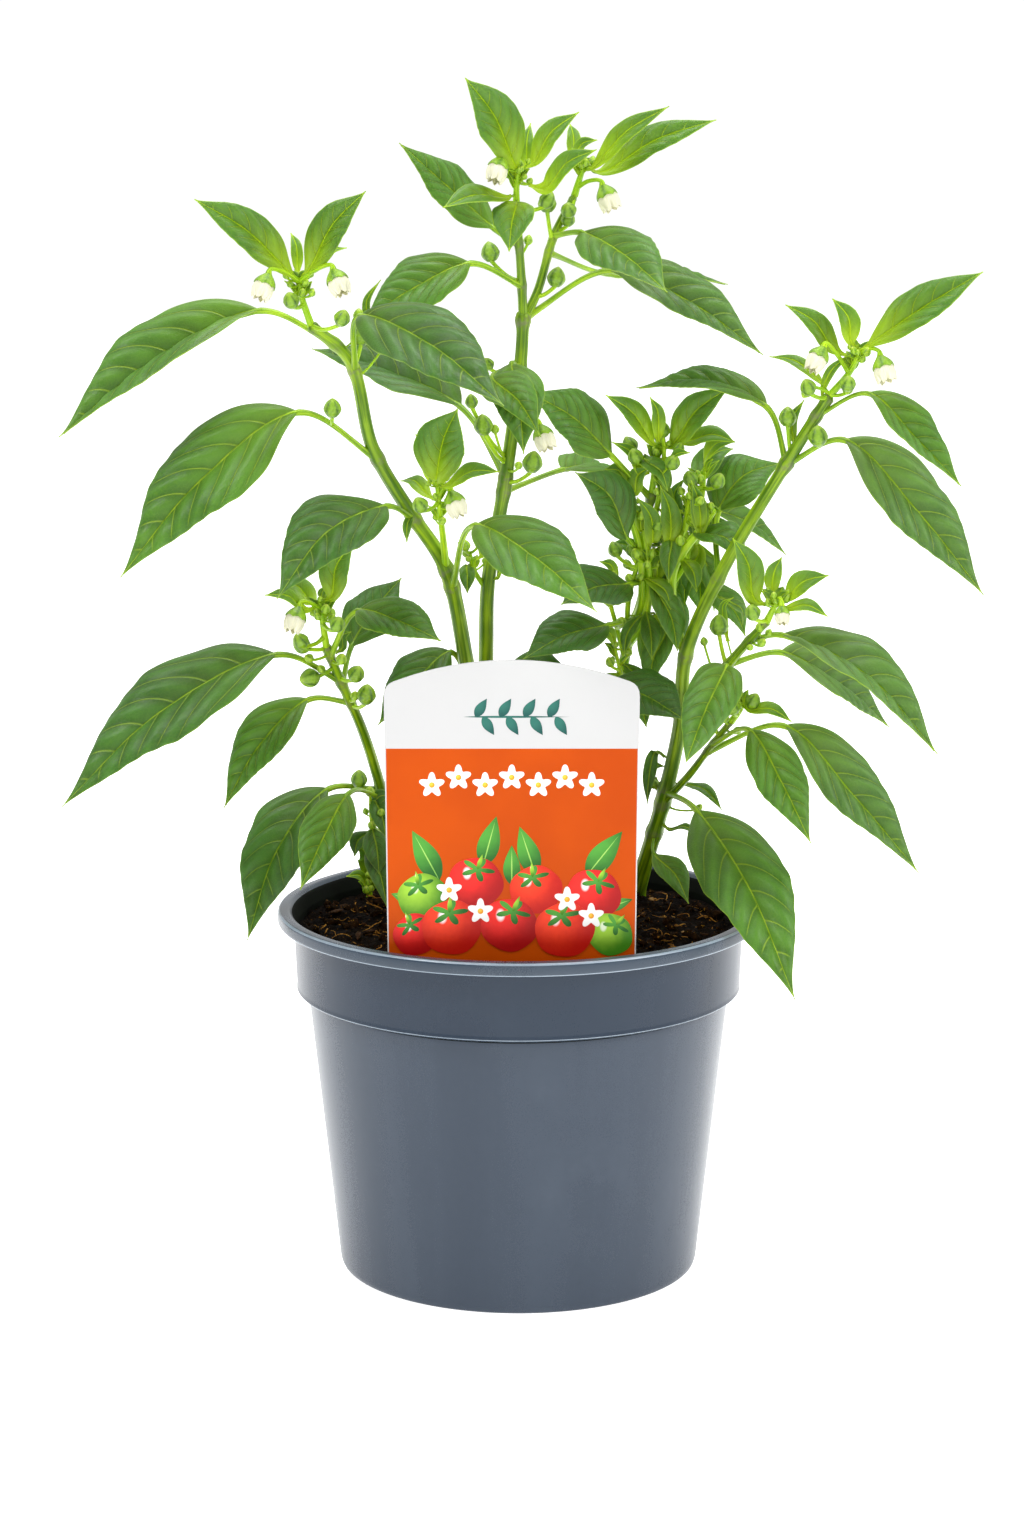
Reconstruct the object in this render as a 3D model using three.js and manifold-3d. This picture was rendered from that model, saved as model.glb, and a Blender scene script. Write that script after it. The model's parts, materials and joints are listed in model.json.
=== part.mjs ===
// Potted chilli pepper plant: a 21 cm nursery pot with potting soil, a picture label and one branching plant.
//
// Millimetres, +Z up. The origin is the centre of the pot's underside, +Y points away from the side that the
// label faces, and +X is to the right of someone who reads the label.

import * as THREE from 'three';
import { mergeVertices } from 'three/addons/utils/BufferGeometryUtils.js';
import Module from 'manifold-3d';

const wasm = await Module();
wasm.setup();

// ------------------------------------------------------------------------------------------------------------
// Driving dimensions, mm
// ------------------------------------------------------------------------------------------------------------

const GAP = 0.3; // clearance between pieces that touch
const RIM_DIAMETER = 210;
const POT_HEIGHT = 160;
const BASE_DIAMETER = 157;
const WALL = 1.5;

const RIM = { radius: RIM_DIAMETER / 2, innerRadius: 99.8, lipHeight: 5.9, edge: 0.6 };
const COLLAR = { topRadius: 98, bottomRadius: 96.7, bottomZ: 124, edge: 1 };
const BODY = { topRadius: 92, baseRadius: BASE_DIAMETER / 2, cornerRise: 1.5 };
const BASE = { padRadius: 30, footRadius: 67, lift: 2.5, slope: 3, floor: 1.6 };
const DRAIN = { count: 8, radius: 5, ringRadius: 48.5, sides: 12 };
const ROUND_SEGMENTS = 40;
const LEDGE_Z = COLLAR.bottomZ - 2 * WALL; // where the inside of the wall starts to step out to the collar

const SOIL = { rimDrop: 10, crown: 3, lump: 1.1, ringStep: 12, clearance: 0.4 };

const LABEL = {
  x: -2.9,
  y: -75,
  thickness: 0.8,
  halfWidth: 52.7,
  bottomHalfWidth: 51.6,
  bottomZ: 141,
  shoulderZ: 270,
  peakZ: 280.7,
  shoulderRadius: 5,
  stakeHalfWidth: 17,
  stakeTaperZ: 134,
  stakeEndHalfWidth: 8,
  stakeEndZ: 94,
  tipZ: 84,
  arcSteps: 8,
};

const STEM_SIDES = 8;
const STEM_ROWS = 8;
const STEM_FOOT_Z = 118;

const PETIOLE_RADIUS = 1.1;
const BLADE = { thickness: 1, fold: 0.16, basePower: 0.75, tipPower: 1.15 };
const FULL_LEAF = { sides: 6, petioleRows: 2, bladeRows: 7 };
const SMALL_LEAF = { sides: 4, petioleRows: 1, bladeRows: 3 };
const STALK_SHARE = 1 / 3; // of a leaf's centre line, from the stem to the blade
const OUTWARD_SHARE = 0.3; // how much a leaf also faces the way that it points
const TINY = 1e-6;

const BUD = { radius: 3.2, stalkRadius: 0.8 };
const FLOWER = { topRadius: 2.2, mouthRadius: 4.6, height: 9, sides: 6 };
const SHOOT = { radii: [1.6, 1], sides: 6 };

// Stems: centre lines from the foot up, with the radius at the foot and at the end.
const STEMS = {
  stem_centre: {
    radii: [3.5, 2.3],
    points: [[-13, 27, 152], [-14, 24, 220], [-14, 18, 273], [-13, 15, 300], [-6, 9, 342], [1, 3, 397],
      [2, 0, 418]],
  },
  stem_centre_fork_left: {
    parent: 'stem_centre',
    radii: [2, 1.5],
    points: [[2, 0, 415], [1, -8, 433], [0, -12, 448], [-1, -15, 462]],
  },
  stem_centre_fork_right: {
    parent: 'stem_centre',
    radii: [2, 1.5],
    points: [[2, 0, 413], [8, 3, 426], [15, 9, 449], [24, 15, 466]],
  },
  stem_left: {
    parent: 'stem_centre',
    radii: [3.1, 1.9],
    points: [[-14, 24, 220], [-22, 6, 263], [-31, -9, 309], [-46, -21, 335], [-61, -30, 363], [-70, -36, 400],
      [-86, -42, 415]],
  },
  stem_right: {
    radii: [3.6, 2],
    points: [[53, 54, 150], [55, 45, 162], [64, 33, 198], [71, 24, 235], [73, 18, 267], [88, 0, 308],
      [114, -18, 357], [130, -27, 385]],
  },
  stem_right_side: {
    parent: 'stem_right',
    radii: [2.2, 1.6],
    points: [[71, 22, 241], [87, -6, 264], [97, -21, 279], [105, -30, 290]],
  },
  stem_right_low: {
    parent: 'stem_right',
    radii: [1.8, 1.3],
    points: [[64, 33, 198], [75, 15, 215], [84, -3, 232], [91, -15, 244]],
  },
  stem_inner_right: {
    radii: [2.8, 1.8],
    points: [[39, 33, 151], [42, 39, 199], [47, 39, 262], [55, 33, 294], [55, 30, 318], [58, 26, 338]],
  },
  stem_low_left: {
    radii: [3, 1.8],
    points: [[-57, 54, 150], [-59, 33, 193], [-61, 24, 208], [-68, 6, 237], [-77, -12, 263], [-82, -21, 278]],
  },
};

// Leaves: `at` is the height where the leaf stalk leaves its stem, `base` and `tip` are the ends of the blade,
// `arch` is how far the midrib rises above the straight line between them, and `tilt` is how many degrees the
// upper face turns from the sky towards the label's side.
const LEAVES = {
  leaf_far_left: { stem: 'stem_left', at: 407, base: [-107, -30, 420], tip: [-189, -54, 370],
    width: 40, arch: 6, tilt: 20 },
  leaf_left_high: { stem: 'stem_left', at: 358, base: [-91, -42, 379], tip: [-164, -63, 313],
    width: 40, arch: 7, tilt: 48 },
  leaf_left_middle: { stem: 'stem_left', at: 332, base: [-55, -42, 340], tip: [-98, -90, 308],
    width: 34, arch: 9, tilt: 45 },
  leaf_front_high: { stem: 'stem_left', at: 396, base: [-65, -63, 420], tip: [-6, -129, 390],
    width: 34, arch: 6, tilt: 50 },
  leaf_front_middle: { stem: 'stem_left', at: 301, base: [-18, -57, 334], tip: [31, -111, 306],
    width: 32, arch: 4, tilt: 48 },
  leaf_back_high: { stem: 'stem_centre', at: 346, base: [-25, 33, 374], tip: [-91, 60, 397],
    width: 34, arch: 3, tilt: 25 },
  leaf_centre_left: { stem: 'stem_centre_fork_left', at: 429, base: [-20, -21, 439], tip: [-64, -42, 417],
    width: 30, arch: 2, tilt: 40 },
  leaf_top_left: { stem: 'stem_centre_fork_left', at: 446, base: [-10, 3, 452], tip: [-50, -6, 488],
    width: 26, arch: 0, tilt: 30 },
  leaf_top_right_front: { stem: 'stem_centre_fork_right', at: 449, base: [26, -6, 451], tip: [60, -66, 430],
    width: 30, arch: 3, tilt: 40 },
  leaf_top_right: { stem: 'stem_centre_fork_right', at: 415, base: [38, 12, 434], tip: [103, -9, 400],
    width: 35, arch: 5, tilt: 32 },
  leaf_top_right_back: { stem: 'stem_centre_fork_right', at: 442, base: [39, 39, 431], tip: [92, 63, 425],
    width: 24, arch: 3, tilt: 12 },
  leaf_centre_front: { stem: 'stem_centre', at: 392, base: [-3, -18, 397], tip: [2, -45, 362],
    width: 22, arch: 5, tilt: 75 },
  leaf_behind_label: { stem: 'stem_inner_right', at: 255, base: [39, 9, 257], tip: [71, -24, 246],
    width: 30, arch: 2, tilt: 40 },
  leaf_behind_label_left: { stem: 'stem_left', at: 252, base: [-29, 4, 271], tip: [-60, -18, 243],
    width: 26, arch: 2, tilt: 35 },
  leaf_behind_label_middle: { stem: 'stem_centre', at: 246, base: [-5, 10, 262], tip: [22, 0, 263],
    width: 16, arch: 4, tilt: 30 },
  leaf_inner_upper: { stem: 'stem_inner_right', at: 335, base: [40, 12, 355], tip: [4, -3, 384],
    width: 29, arch: 3, tilt: 40 },
  leaf_inner_middle: { stem: 'stem_inner_right', at: 312, base: [47, 12, 319], tip: [24, -6, 350],
    width: 22, arch: 6, tilt: 45 },
  leaf_inner_lower: { stem: 'stem_inner_right', at: 298, base: [48, 15, 299], tip: [18, -18, 295],
    width: 28, arch: 3, tilt: 45 },
  leaf_inner_low_left: { stem: 'stem_inner_right', at: 280, base: [39, 15, 281], tip: [2, -9, 270],
    width: 26, arch: 3, tilt: 40 },
  leaf_inner_edge: { stem: 'stem_centre', at: 340, base: [19, 39, 346], tip: [46, 75, 338],
    width: 24, arch: 4, tilt: 25 },
  leaf_right_back: { stem: 'stem_right', at: 355, base: [105, -9, 378], tip: [50, 3, 385],
    width: 30, arch: 8, tilt: 15 },
  leaf_right_small: { stem: 'stem_right', at: 376, base: [145, -33, 386], tip: [182, -57, 350],
    width: 24, arch: 1, tilt: 22 },
  leaf_right_large: { stem: 'stem_right', at: 354, base: [136, -27, 366], tip: [193, -51, 304],
    width: 38, arch: 3, tilt: 32 },
  leaf_inner_right: { stem: 'stem_right', at: 303, base: [87, 27, 329], tip: [115, 39, 349],
    width: 28, arch: 6, tilt: 30 },
  leaf_side_heart: { stem: 'stem_right_side', at: 263, base: [88, -27, 270], tip: [69, -75, 238],
    width: 25, arch: 2, tilt: 65 },
  leaf_side_large: { stem: 'stem_right_side', at: 280, base: [111, -24, 283], tip: [174, -63, 239],
    width: 38, arch: 8, tilt: 25 },
  leaf_side_under: { stem: 'stem_right_side', at: 268, base: [113, -9, 276], tip: [162, 15, 239],
    width: 30, arch: 4, tilt: 30 },
  leaf_lower_front: { stem: 'stem_right_low', at: 232, base: [98, -30, 243], tip: [122, -63, 201],
    width: 27, arch: 2, tilt: 45 },
  leaf_lower_right: { stem: 'stem_right_low', at: 228, base: [114, -9, 241], tip: [170, -39, 183],
    width: 36, arch: 2, tilt: 30 },
  leaf_over_rim: { stem: 'stem_right', at: 204, base: [77, -4, 203], tip: [115, -80, 138],
    width: 37, arch: 8, tilt: 50 },
  leaf_in_pot: { stem: 'stem_right', at: 184, base: [60, 26, 177], tip: [75, 14, 157],
    width: 13, arch: 3, tilt: 45 },
  leaf_low_left_large: { stem: 'stem_low_left', at: 261, base: [-102, -27, 275], tip: [-192, -51, 214],
    width: 44, arch: 9, tilt: 35 },
  leaf_low_left_small: { stem: 'stem_low_left', at: 250, base: [-90, -6, 252], tip: [-126, -24, 208],
    width: 28, arch: 5, tilt: 32 },
  leaf_low_left_drooping: { stem: 'stem_low_left', at: 206, base: [-83, 18, 208], tip: [-117, -21, 149],
    width: 31, arch: 10, tilt: 45 },
  leaf_low_left_bright: { stem: 'stem_low_left', at: 202, base: [-73, -18, 213], tip: [-92, -54, 179],
    width: 22, arch: 2, tilt: 58 },
  leaf_low_inner_back: { stem: 'stem_low_left', at: 259, base: [-72, 0, 274], tip: [-51, 27, 300],
    width: 23, arch: 2, tilt: 40 },
  leaf_low_inner_front: { stem: 'stem_low_left', at: 273, base: [-68, -36, 295], tip: [-32, -66, 287],
    width: 26, arch: 2, tilt: 32 },
};

// Shoots: the young growth on the end of a stem, grown as one piece. `axis` is its centre line, and each small
// leaf, bud and flower hangs from the nearest point of it.
const SHOOTS = {
  shoot_left: {
    parent: 'stem_left',
    axis: [[-86, -42, 414], [-89, -45, 426], [-90, -46, 433]],
    leaves: [
      { base: [-94, -50, 437], tip: [-131, -63, 467], width: 18 },
      { base: [-85, -51, 439], tip: [-62, -57, 470], width: 16 },
      { base: [-83, -45, 438], tip: [-71, -33, 446], width: 5 },
      { base: [-91, -40, 439], tip: [-94, -33, 452], width: 5 },
    ],
    buds: [[-93, -54, 426], [-72, -57, 419]],
    flowers: [[-104, -60, 431], [-73, -63, 433]],
  },
  shoot_top_left: {
    parent: 'stem_centre_fork_left',
    axis: [[-1, -15, 461], [-1, -16, 469], [0, -18, 477]],
    leaves: [
      { base: [-2, -24, 480], tip: [-22, -36, 515], width: 20 },
      { base: [6, -18, 480], tip: [25, -21, 501], width: 10 },
      { base: [11, -22, 470], tip: [32, -34, 486], width: 11 },
      { base: [3, -9, 479], tip: [5, 0, 496], width: 6 },
      { base: [-6, -24, 466], tip: [-31, -48, 463], width: 12 },
      { base: [-1, -26, 463], tip: [-4, -42, 445], width: 17 },
    ],
    buds: [[12, -18, 465]],
    flowers: [[-9, -30, 477]],
  },
  shoot_top_right: {
    parent: 'stem_centre_fork_right',
    axis: [[24, 15, 465], [26, 15, 473], [28, 15, 478]],
    leaves: [
      { base: [31, 12, 477], tip: [63, 0, 503], width: 10 },
      { base: [35, 18, 475], tip: [84, 21, 497], width: 15 },
      { base: [24, 9, 481], tip: [33, 3, 489], width: 6 },
      { base: [24, 21, 481], tip: [22, 33, 495], width: 6 },
    ],
    buds: [[21, 3, 460]],
    flowers: [[38, 9, 464]],
  },
  shoot_right: {
    parent: 'stem_right',
    axis: [[130, -27, 384], [138, -30, 395], [142, -32, 404]],
    leaves: [
      { base: [131, -30, 404], tip: [111, -24, 422], width: 10 },
      { base: [138, -33, 407], tip: [130, -30, 425], width: 9 },
      { base: [125, -21, 391], tip: [106, -6, 399], width: 6 },
      { base: [146, -36, 407], tip: [190, -48, 437], width: 25, arch: 1, tilt: 35 },
    ],
    buds: [[136, -42, 391], [120, -36, 389]],
    flowers: [[151, -42, 396], [123, -39, 400]],
  },
  shoot_right_side: {
    parent: 'stem_right_side',
    axis: [[105, -30, 289], [107, -32, 295], [109, -33, 299]],
    leaves: [
      { base: [99, -36, 300], tip: [89, -45, 327], width: 12 },
      { base: [107, -30, 302], tip: [111, -24, 316], width: 7 },
      { base: [112, -33, 299], tip: [130, -36, 310], width: 10 },
      { base: [112, -36, 296], tip: [129, -45, 294], width: 7 },
    ],
    buds: [[98, -39, 295]],
    flowers: [[109, -48, 293]],
  },
  shoot_right_low: {
    parent: 'stem_right_low',
    axis: [[91, -15, 243], [94, -16, 248], [96, -18, 252]],
    leaves: [
      { base: [98, -21, 250], tip: [116, -27, 246], width: 7 },
      { base: [95, -15, 253], tip: [90, -6, 258], width: 4 },
    ],
    buds: [[91, -24, 252], [100, -21, 254]],
    flowers: [],
  },
  shoot_inner_right: {
    parent: 'stem_inner_right',
    axis: [[58, 26, 337], [59, 24, 348], [60, 21, 358]],
    leaves: [
      { base: [57, 15, 361], tip: [37, 3, 382], width: 11 },
      { base: [66, 18, 359], tip: [90, 6, 385], width: 15 },
      { base: [60, 12, 365], tip: [56, 6, 381], width: 6 },
      { base: [53, 18, 347], tip: [40, 12, 361], width: 6 },
      { base: [63, 12, 349], tip: [73, -3, 358], width: 6 },
    ],
    buds: [[50, 12, 355], [66, 6, 353]],
    flowers: [],
  },
  shoot_inner_back: {
    parent: 'stem_right',
    axis: [[74, 18, 267], [67, 24, 286], [67, 27, 306], [72, 27, 321], [79, 24, 335], [80, 21, 348]],
    leaves: [
      { base: [81, 18, 354], tip: [93, 12, 361], width: 8 },
      { base: [88, 36, 328], tip: [119, 57, 306], width: 15 },
      { base: [80, 15, 325], tip: [93, 6, 311], width: 15 },
      { base: [75, 36, 308], tip: [72, 48, 282], width: 10 },
    ],
    buds: [[74, 15, 345], [86, 15, 344]],
    flowers: [],
  },
  shoot_low_left: {
    parent: 'stem_low_left',
    axis: [[-82, -21, 277], [-83, -26, 289], [-84, -27, 298]],
    leaves: [
      { base: [-79, -30, 300], tip: [-69, -33, 324], width: 13 },
      { base: [-88, -18, 296], tip: [-101, 0, 301], width: 10 },
      { base: [-90, -33, 295], tip: [-106, -45, 303], width: 7 },
    ],
    buds: [[-92, -33, 282], [-76, -39, 290]],
    flowers: [[-94, -39, 291]],
  },
  shoot_inner_left: {
    parent: 'stem_left',
    axis: [[-30, -9, 308], [-32, -24, 325], [-33, -33, 337], [-34, -39, 348]],
    leaves: [
      { base: [-34, -45, 352], tip: [-25, -57, 382], width: 22 },
      { base: [-37, -39, 351], tip: [-43, -33, 369], width: 7 },
      { base: [-29, -45, 349], tip: [-8, -57, 356], width: 9 },
      { base: [-38, -30, 343], tip: [-50, -12, 347], width: 7 },
    ],
    buds: [[-41, -45, 341]],
    flowers: [[-26, -42, 340]],
  },
  sprout_low_left: {
    axis: [[-67, 52, 150], [-67, 51, 154], [-66, 50, 160]],
    leaves: [
      { base: [-68, 48, 157], tip: [-77, 42, 163], width: 5 },
      { base: [-65, 48, 162], tip: [-60, 44, 171], width: 7 },
      { base: [-68, 50, 163], tip: [-72, 48, 176], width: 10 },
    ],
    buds: [],
    flowers: [],
  },
};

// ------------------------------------------------------------------------------------------------------------
// Materials
// ------------------------------------------------------------------------------------------------------------

const finish = (color, roughness, metalness = 0) =>
  new THREE.MeshStandardMaterial({ color, roughness, metalness });

const MATERIALS = {
  pot: () => finish(0x5f6976, 0.4),
  soil: () => finish(0x241a12, 0.95),
  label: () => finish(0xf06420, 0.35),
  stem: () => finish(0x6f9a3a, 0.5),
  leaf: () => finish(0x3f7a35, 0.45),
  shoot: () => finish(0x8fbf3f, 0.5),
};

// ------------------------------------------------------------------------------------------------------------
// Solids
// ------------------------------------------------------------------------------------------------------------

const vector = ([x, y, z]) => new THREE.Vector3(x, y, z);
const up = new THREE.Vector3(0, 0, 1);
const towardsLabelSide = new THREE.Vector3(0, -1, 0);

/** A closed geometry as a manifold solid. */
function solidFrom(geometry) {
  const bare = geometry.clone();
  bare.deleteAttribute('normal');
  bare.deleteAttribute('uv');
  const merged = mergeVertices(bare, 1e-4);
  const corners = [];
  const index = merged.index.array;
  for (let i = 0; i < index.length; i += 3) {
    const [a, b, c] = index.slice(i, i + 3);
    if (a !== b && b !== c && c !== a) corners.push(a, b, c);
  }
  const vertProperties = new Float32Array(merged.attributes.position.array);
  return new wasm.Manifold(new wasm.Mesh({ numProp: 3, vertProperties, triVerts: new Uint32Array(corners) }));
}

/** A manifold solid as a three.js geometry. */
function geometryFrom(solid) {
  const { vertProperties, triVerts } = solid.getMesh();
  const geometry = new THREE.BufferGeometry();
  geometry.setAttribute('position', new THREE.BufferAttribute(new Float32Array(vertProperties), 3));
  geometry.setIndex(new THREE.BufferAttribute(new Uint32Array(triVerts), 1));
  geometry.computeVertexNormals();
  return geometry;
}

/** The largest body of a solid, so that a cut leaves no crumbs. */
const largestBody = (solid) =>
  solid.decompose().reduce((best, body) => (body.volume() > best.volume() ? body : best));

/** A turned shape from its profile, standing on +Z. */
function lathe(profile) {
  const points = profile.map(([radius, z]) => new THREE.Vector2(radius, z));
  return new THREE.LatheGeometry(points, ROUND_SEGMENTS).rotateX(Math.PI / 2);
}

/** A smooth curve through points. */
const curveThrough = (points) => new THREE.CatmullRomCurve3(points, false, 'centripetal');

/** The point of a curve that is nearest to a point, by stepping along it. */
function nearestOn(curve, point, steps = 200) {
  const candidates = curve.getPoints(steps);
  return candidates.reduce((best, p) => (p.distanceTo(point) < best.distanceTo(point) ? p : best));
}

/** The point of a rising curve at a height. */
function pointAtHeight(curve, z, steps = 400) {
  const candidates = curve.getPoints(steps);
  return candidates.reduce((best, p) => (Math.abs(p.z - z) < Math.abs(best.z - z) ? p : best));
}

// ------------------------------------------------------------------------------------------------------------
// Pot, soil and label
// ------------------------------------------------------------------------------------------------------------

/** Inner radius of the pot's wall at a height. */
function innerRadius(z) {
  const body = BODY.baseRadius + ((BODY.topRadius - BODY.baseRadius) * z) / COLLAR.bottomZ;
  const collarTopZ = POT_HEIGHT - RIM.lipHeight;
  const collarShare = (z - COLLAR.bottomZ) / (collarTopZ - COLLAR.bottomZ);
  const collar = COLLAR.bottomRadius + (COLLAR.topRadius - COLLAR.bottomRadius) * collarShare;
  return (z < COLLAR.bottomZ ? body : collar) - WALL;
}

function pot() {
  const lipZ = POT_HEIGHT - RIM.lipHeight;
  const channelInner = BASE.padRadius + BASE.slope;
  const channelOuter = BASE.footRadius - BASE.slope;
  const floorZ = BASE.floor;
  const raisedFloorZ = BASE.floor + BASE.lift;
  const shell = solidFrom(lathe([
    [0, 0],
    [BASE.padRadius, 0],
    [channelInner, BASE.lift],
    [channelOuter, BASE.lift],
    [BASE.footRadius, 0],
    [BODY.baseRadius - BODY.cornerRise, 0],
    [BODY.baseRadius, BODY.cornerRise],
    [BODY.topRadius, COLLAR.bottomZ],
    [COLLAR.bottomRadius - COLLAR.edge, COLLAR.bottomZ],
    [COLLAR.bottomRadius, COLLAR.bottomZ + COLLAR.edge],
    [COLLAR.topRadius, lipZ],
    [RIM.radius - RIM.edge, lipZ],
    [RIM.radius, lipZ + RIM.edge],
    [RIM.radius, POT_HEIGHT - RIM.edge],
    [RIM.radius - RIM.edge, POT_HEIGHT],
    [RIM.innerRadius, POT_HEIGHT],
    [RIM.innerRadius - WALL, POT_HEIGHT - WALL],
    [innerRadius(lipZ), lipZ - WALL],
    [innerRadius(COLLAR.bottomZ), COLLAR.bottomZ + WALL],
    [innerRadius(LEDGE_Z), LEDGE_Z],
    [innerRadius(floorZ), floorZ],
    [BASE.footRadius - WALL, floorZ],
    [channelOuter - WALL, raisedFloorZ],
    [channelInner + WALL, raisedFloorZ],
    [BASE.padRadius + WALL, floorZ],
    [0, floorZ],
  ]));
  const drillLength = 4 * raisedFloorZ;
  const drill = new THREE.CylinderGeometry(DRAIN.radius, DRAIN.radius, drillLength, DRAIN.sides)
    .rotateX(Math.PI / 2)
    .translate(DRAIN.ringRadius, 0, 0);
  let drilled = shell;
  for (let i = 0; i < DRAIN.count; i++) {
    const turn = (2 * Math.PI * (i + 0.5)) / DRAIN.count;
    drilled = drilled.subtract(solidFrom(drill.clone().rotateZ(turn)));
  }
  return drilled;
}

/** Height of the soil's surface: a low crown with lumps. */
function soilHeight(x, y) {
  const level = POT_HEIGHT - SOIL.rimDrop;
  const radius = Math.hypot(x, y);
  const crown = SOIL.crown * (1 - (radius / RIM.innerRadius) ** 2);
  const lumps = Math.sin(x / 9 + 1.3) * Math.cos(y / 7.5) + 0.6 * Math.sin((x + y) / 5 + 0.4);
  return level + crown + SOIL.lump * lumps;
}

function soil(sockets) {
  const topZ = POT_HEIGHT - SOIL.rimDrop;
  const bottomZ = BASE.floor + BASE.lift + GAP;
  const edge = (z) => [innerRadius(z) - SOIL.clearance, z];
  const profile = [[0, bottomZ], edge(bottomZ), edge(LEDGE_Z), edge(COLLAR.bottomZ + WALL), edge(topZ)];
  for (let radius = edge(topZ)[0] - SOIL.ringStep; radius > SOIL.ringStep / 2; radius -= SOIL.ringStep) {
    profile.push([radius, topZ]);
  }
  profile.push([0, topZ]);
  const body = lathe(profile);
  const position = body.attributes.position;
  for (let i = 0; i < position.count; i++) {
    if (Math.abs(position.getZ(i) - topZ) < GAP) {
      position.setZ(i, soilHeight(position.getX(i), position.getY(i)));
    }
  }
  return sockets.reduce((rest, socket) => rest.subtract(socket), solidFrom(body));
}

/** The label's outline: a stake, straight sides and an arched head with round shoulders. */
function labelShape(grow = 0) {
  const { halfWidth, bottomHalfWidth, bottomZ, shoulderZ, peakZ, shoulderRadius, arcSteps } = LABEL;
  const rise = peakZ - shoulderZ;
  const archHalf = halfWidth - shoulderRadius / 2;
  const archRadius = (archHalf ** 2 + rise ** 2) / (2 * rise);
  const side = [
    [0, LABEL.tipZ],
    [LABEL.stakeEndHalfWidth, LABEL.stakeEndZ],
    [LABEL.stakeHalfWidth, LABEL.stakeTaperZ],
    [bottomHalfWidth - shoulderRadius, bottomZ],
    [bottomHalfWidth, bottomZ + shoulderRadius],
    [halfWidth, shoulderZ - shoulderRadius],
  ];
  for (let i = 0; i < arcSteps; i++) {
    const x = archHalf * (1 - i / arcSteps);
    side.push([x, peakZ - archRadius + Math.sqrt(archRadius ** 2 - x ** 2)]);
  }
  const grown = side.map(([x, z]) => [x === 0 ? 0 : x + grow, z === LABEL.tipZ ? z - grow : z]);
  const mirrored = grown.slice(1).reverse().map(([x, z]) => [-x, z]);
  return new THREE.Shape([...grown, [0, peakZ], ...mirrored].map(([x, z]) => new THREE.Vector2(x, z)));
}

function label(grow = 0) {
  const depth = LABEL.thickness + 2 * grow;
  const plate = new THREE.ExtrudeGeometry(labelShape(grow), { depth, bevelEnabled: false })
    .rotateX(Math.PI / 2)
    .translate(LABEL.x, LABEL.y + depth / 2, 0);
  return solidFrom(plate);
}

// ------------------------------------------------------------------------------------------------------------
// Stems and leaves
// ------------------------------------------------------------------------------------------------------------

/** A closed tube whose radius runs from the first to the second value of radii, made wider by grow. */
function taperedTube(curve, radii, sides, rows, grow = 0) {
  const tube = new THREE.CylinderGeometry(1, 1, 1, sides, rows);
  const position = tube.attributes.position;
  for (let i = 0; i < position.count; i++) {
    const along = position.getY(i) + 0.5;
    const tangent = curve.getTangent(along);
    const side = new THREE.Vector3(0, 1, 0).cross(tangent).normalize();
    const across = side.clone().cross(tangent);
    const radius = THREE.MathUtils.lerp(radii[0], radii[1], along) + grow;
    const endShift = grow * ((along > 1 - TINY) - (along < TINY));
    const point = curve.getPoint(along)
      .addScaledVector(side, radius * position.getX(i))
      .addScaledVector(across, radius * position.getZ(i))
      .addScaledVector(tangent, endShift);
    position.setXYZ(i, point.x, point.y, point.z);
  }
  return solidFrom(tube);
}

/** Centre line of a stem: a stem with a parent starts on the parent's centre line, another in the soil. */
function stemCurve(spec, curves) {
  const points = spec.points.map(vector);
  if (spec.parent) points[0] = nearestOn(curves[spec.parent], points[0]);
  else points.unshift(points[0].clone().setZ(STEM_FOOT_Z));
  return curveThrough(points);
}

/** Half the width of a blade at a share of its length, as a share of its greatest half width. */
function bladeOutline(along) {
  const { basePower, tipPower } = BLADE;
  const widest = basePower / (basePower + tipPower);
  const outline = (u) => u ** basePower * (1 - u) ** tipPower;
  return outline(along) / outline(widest);
}

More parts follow.
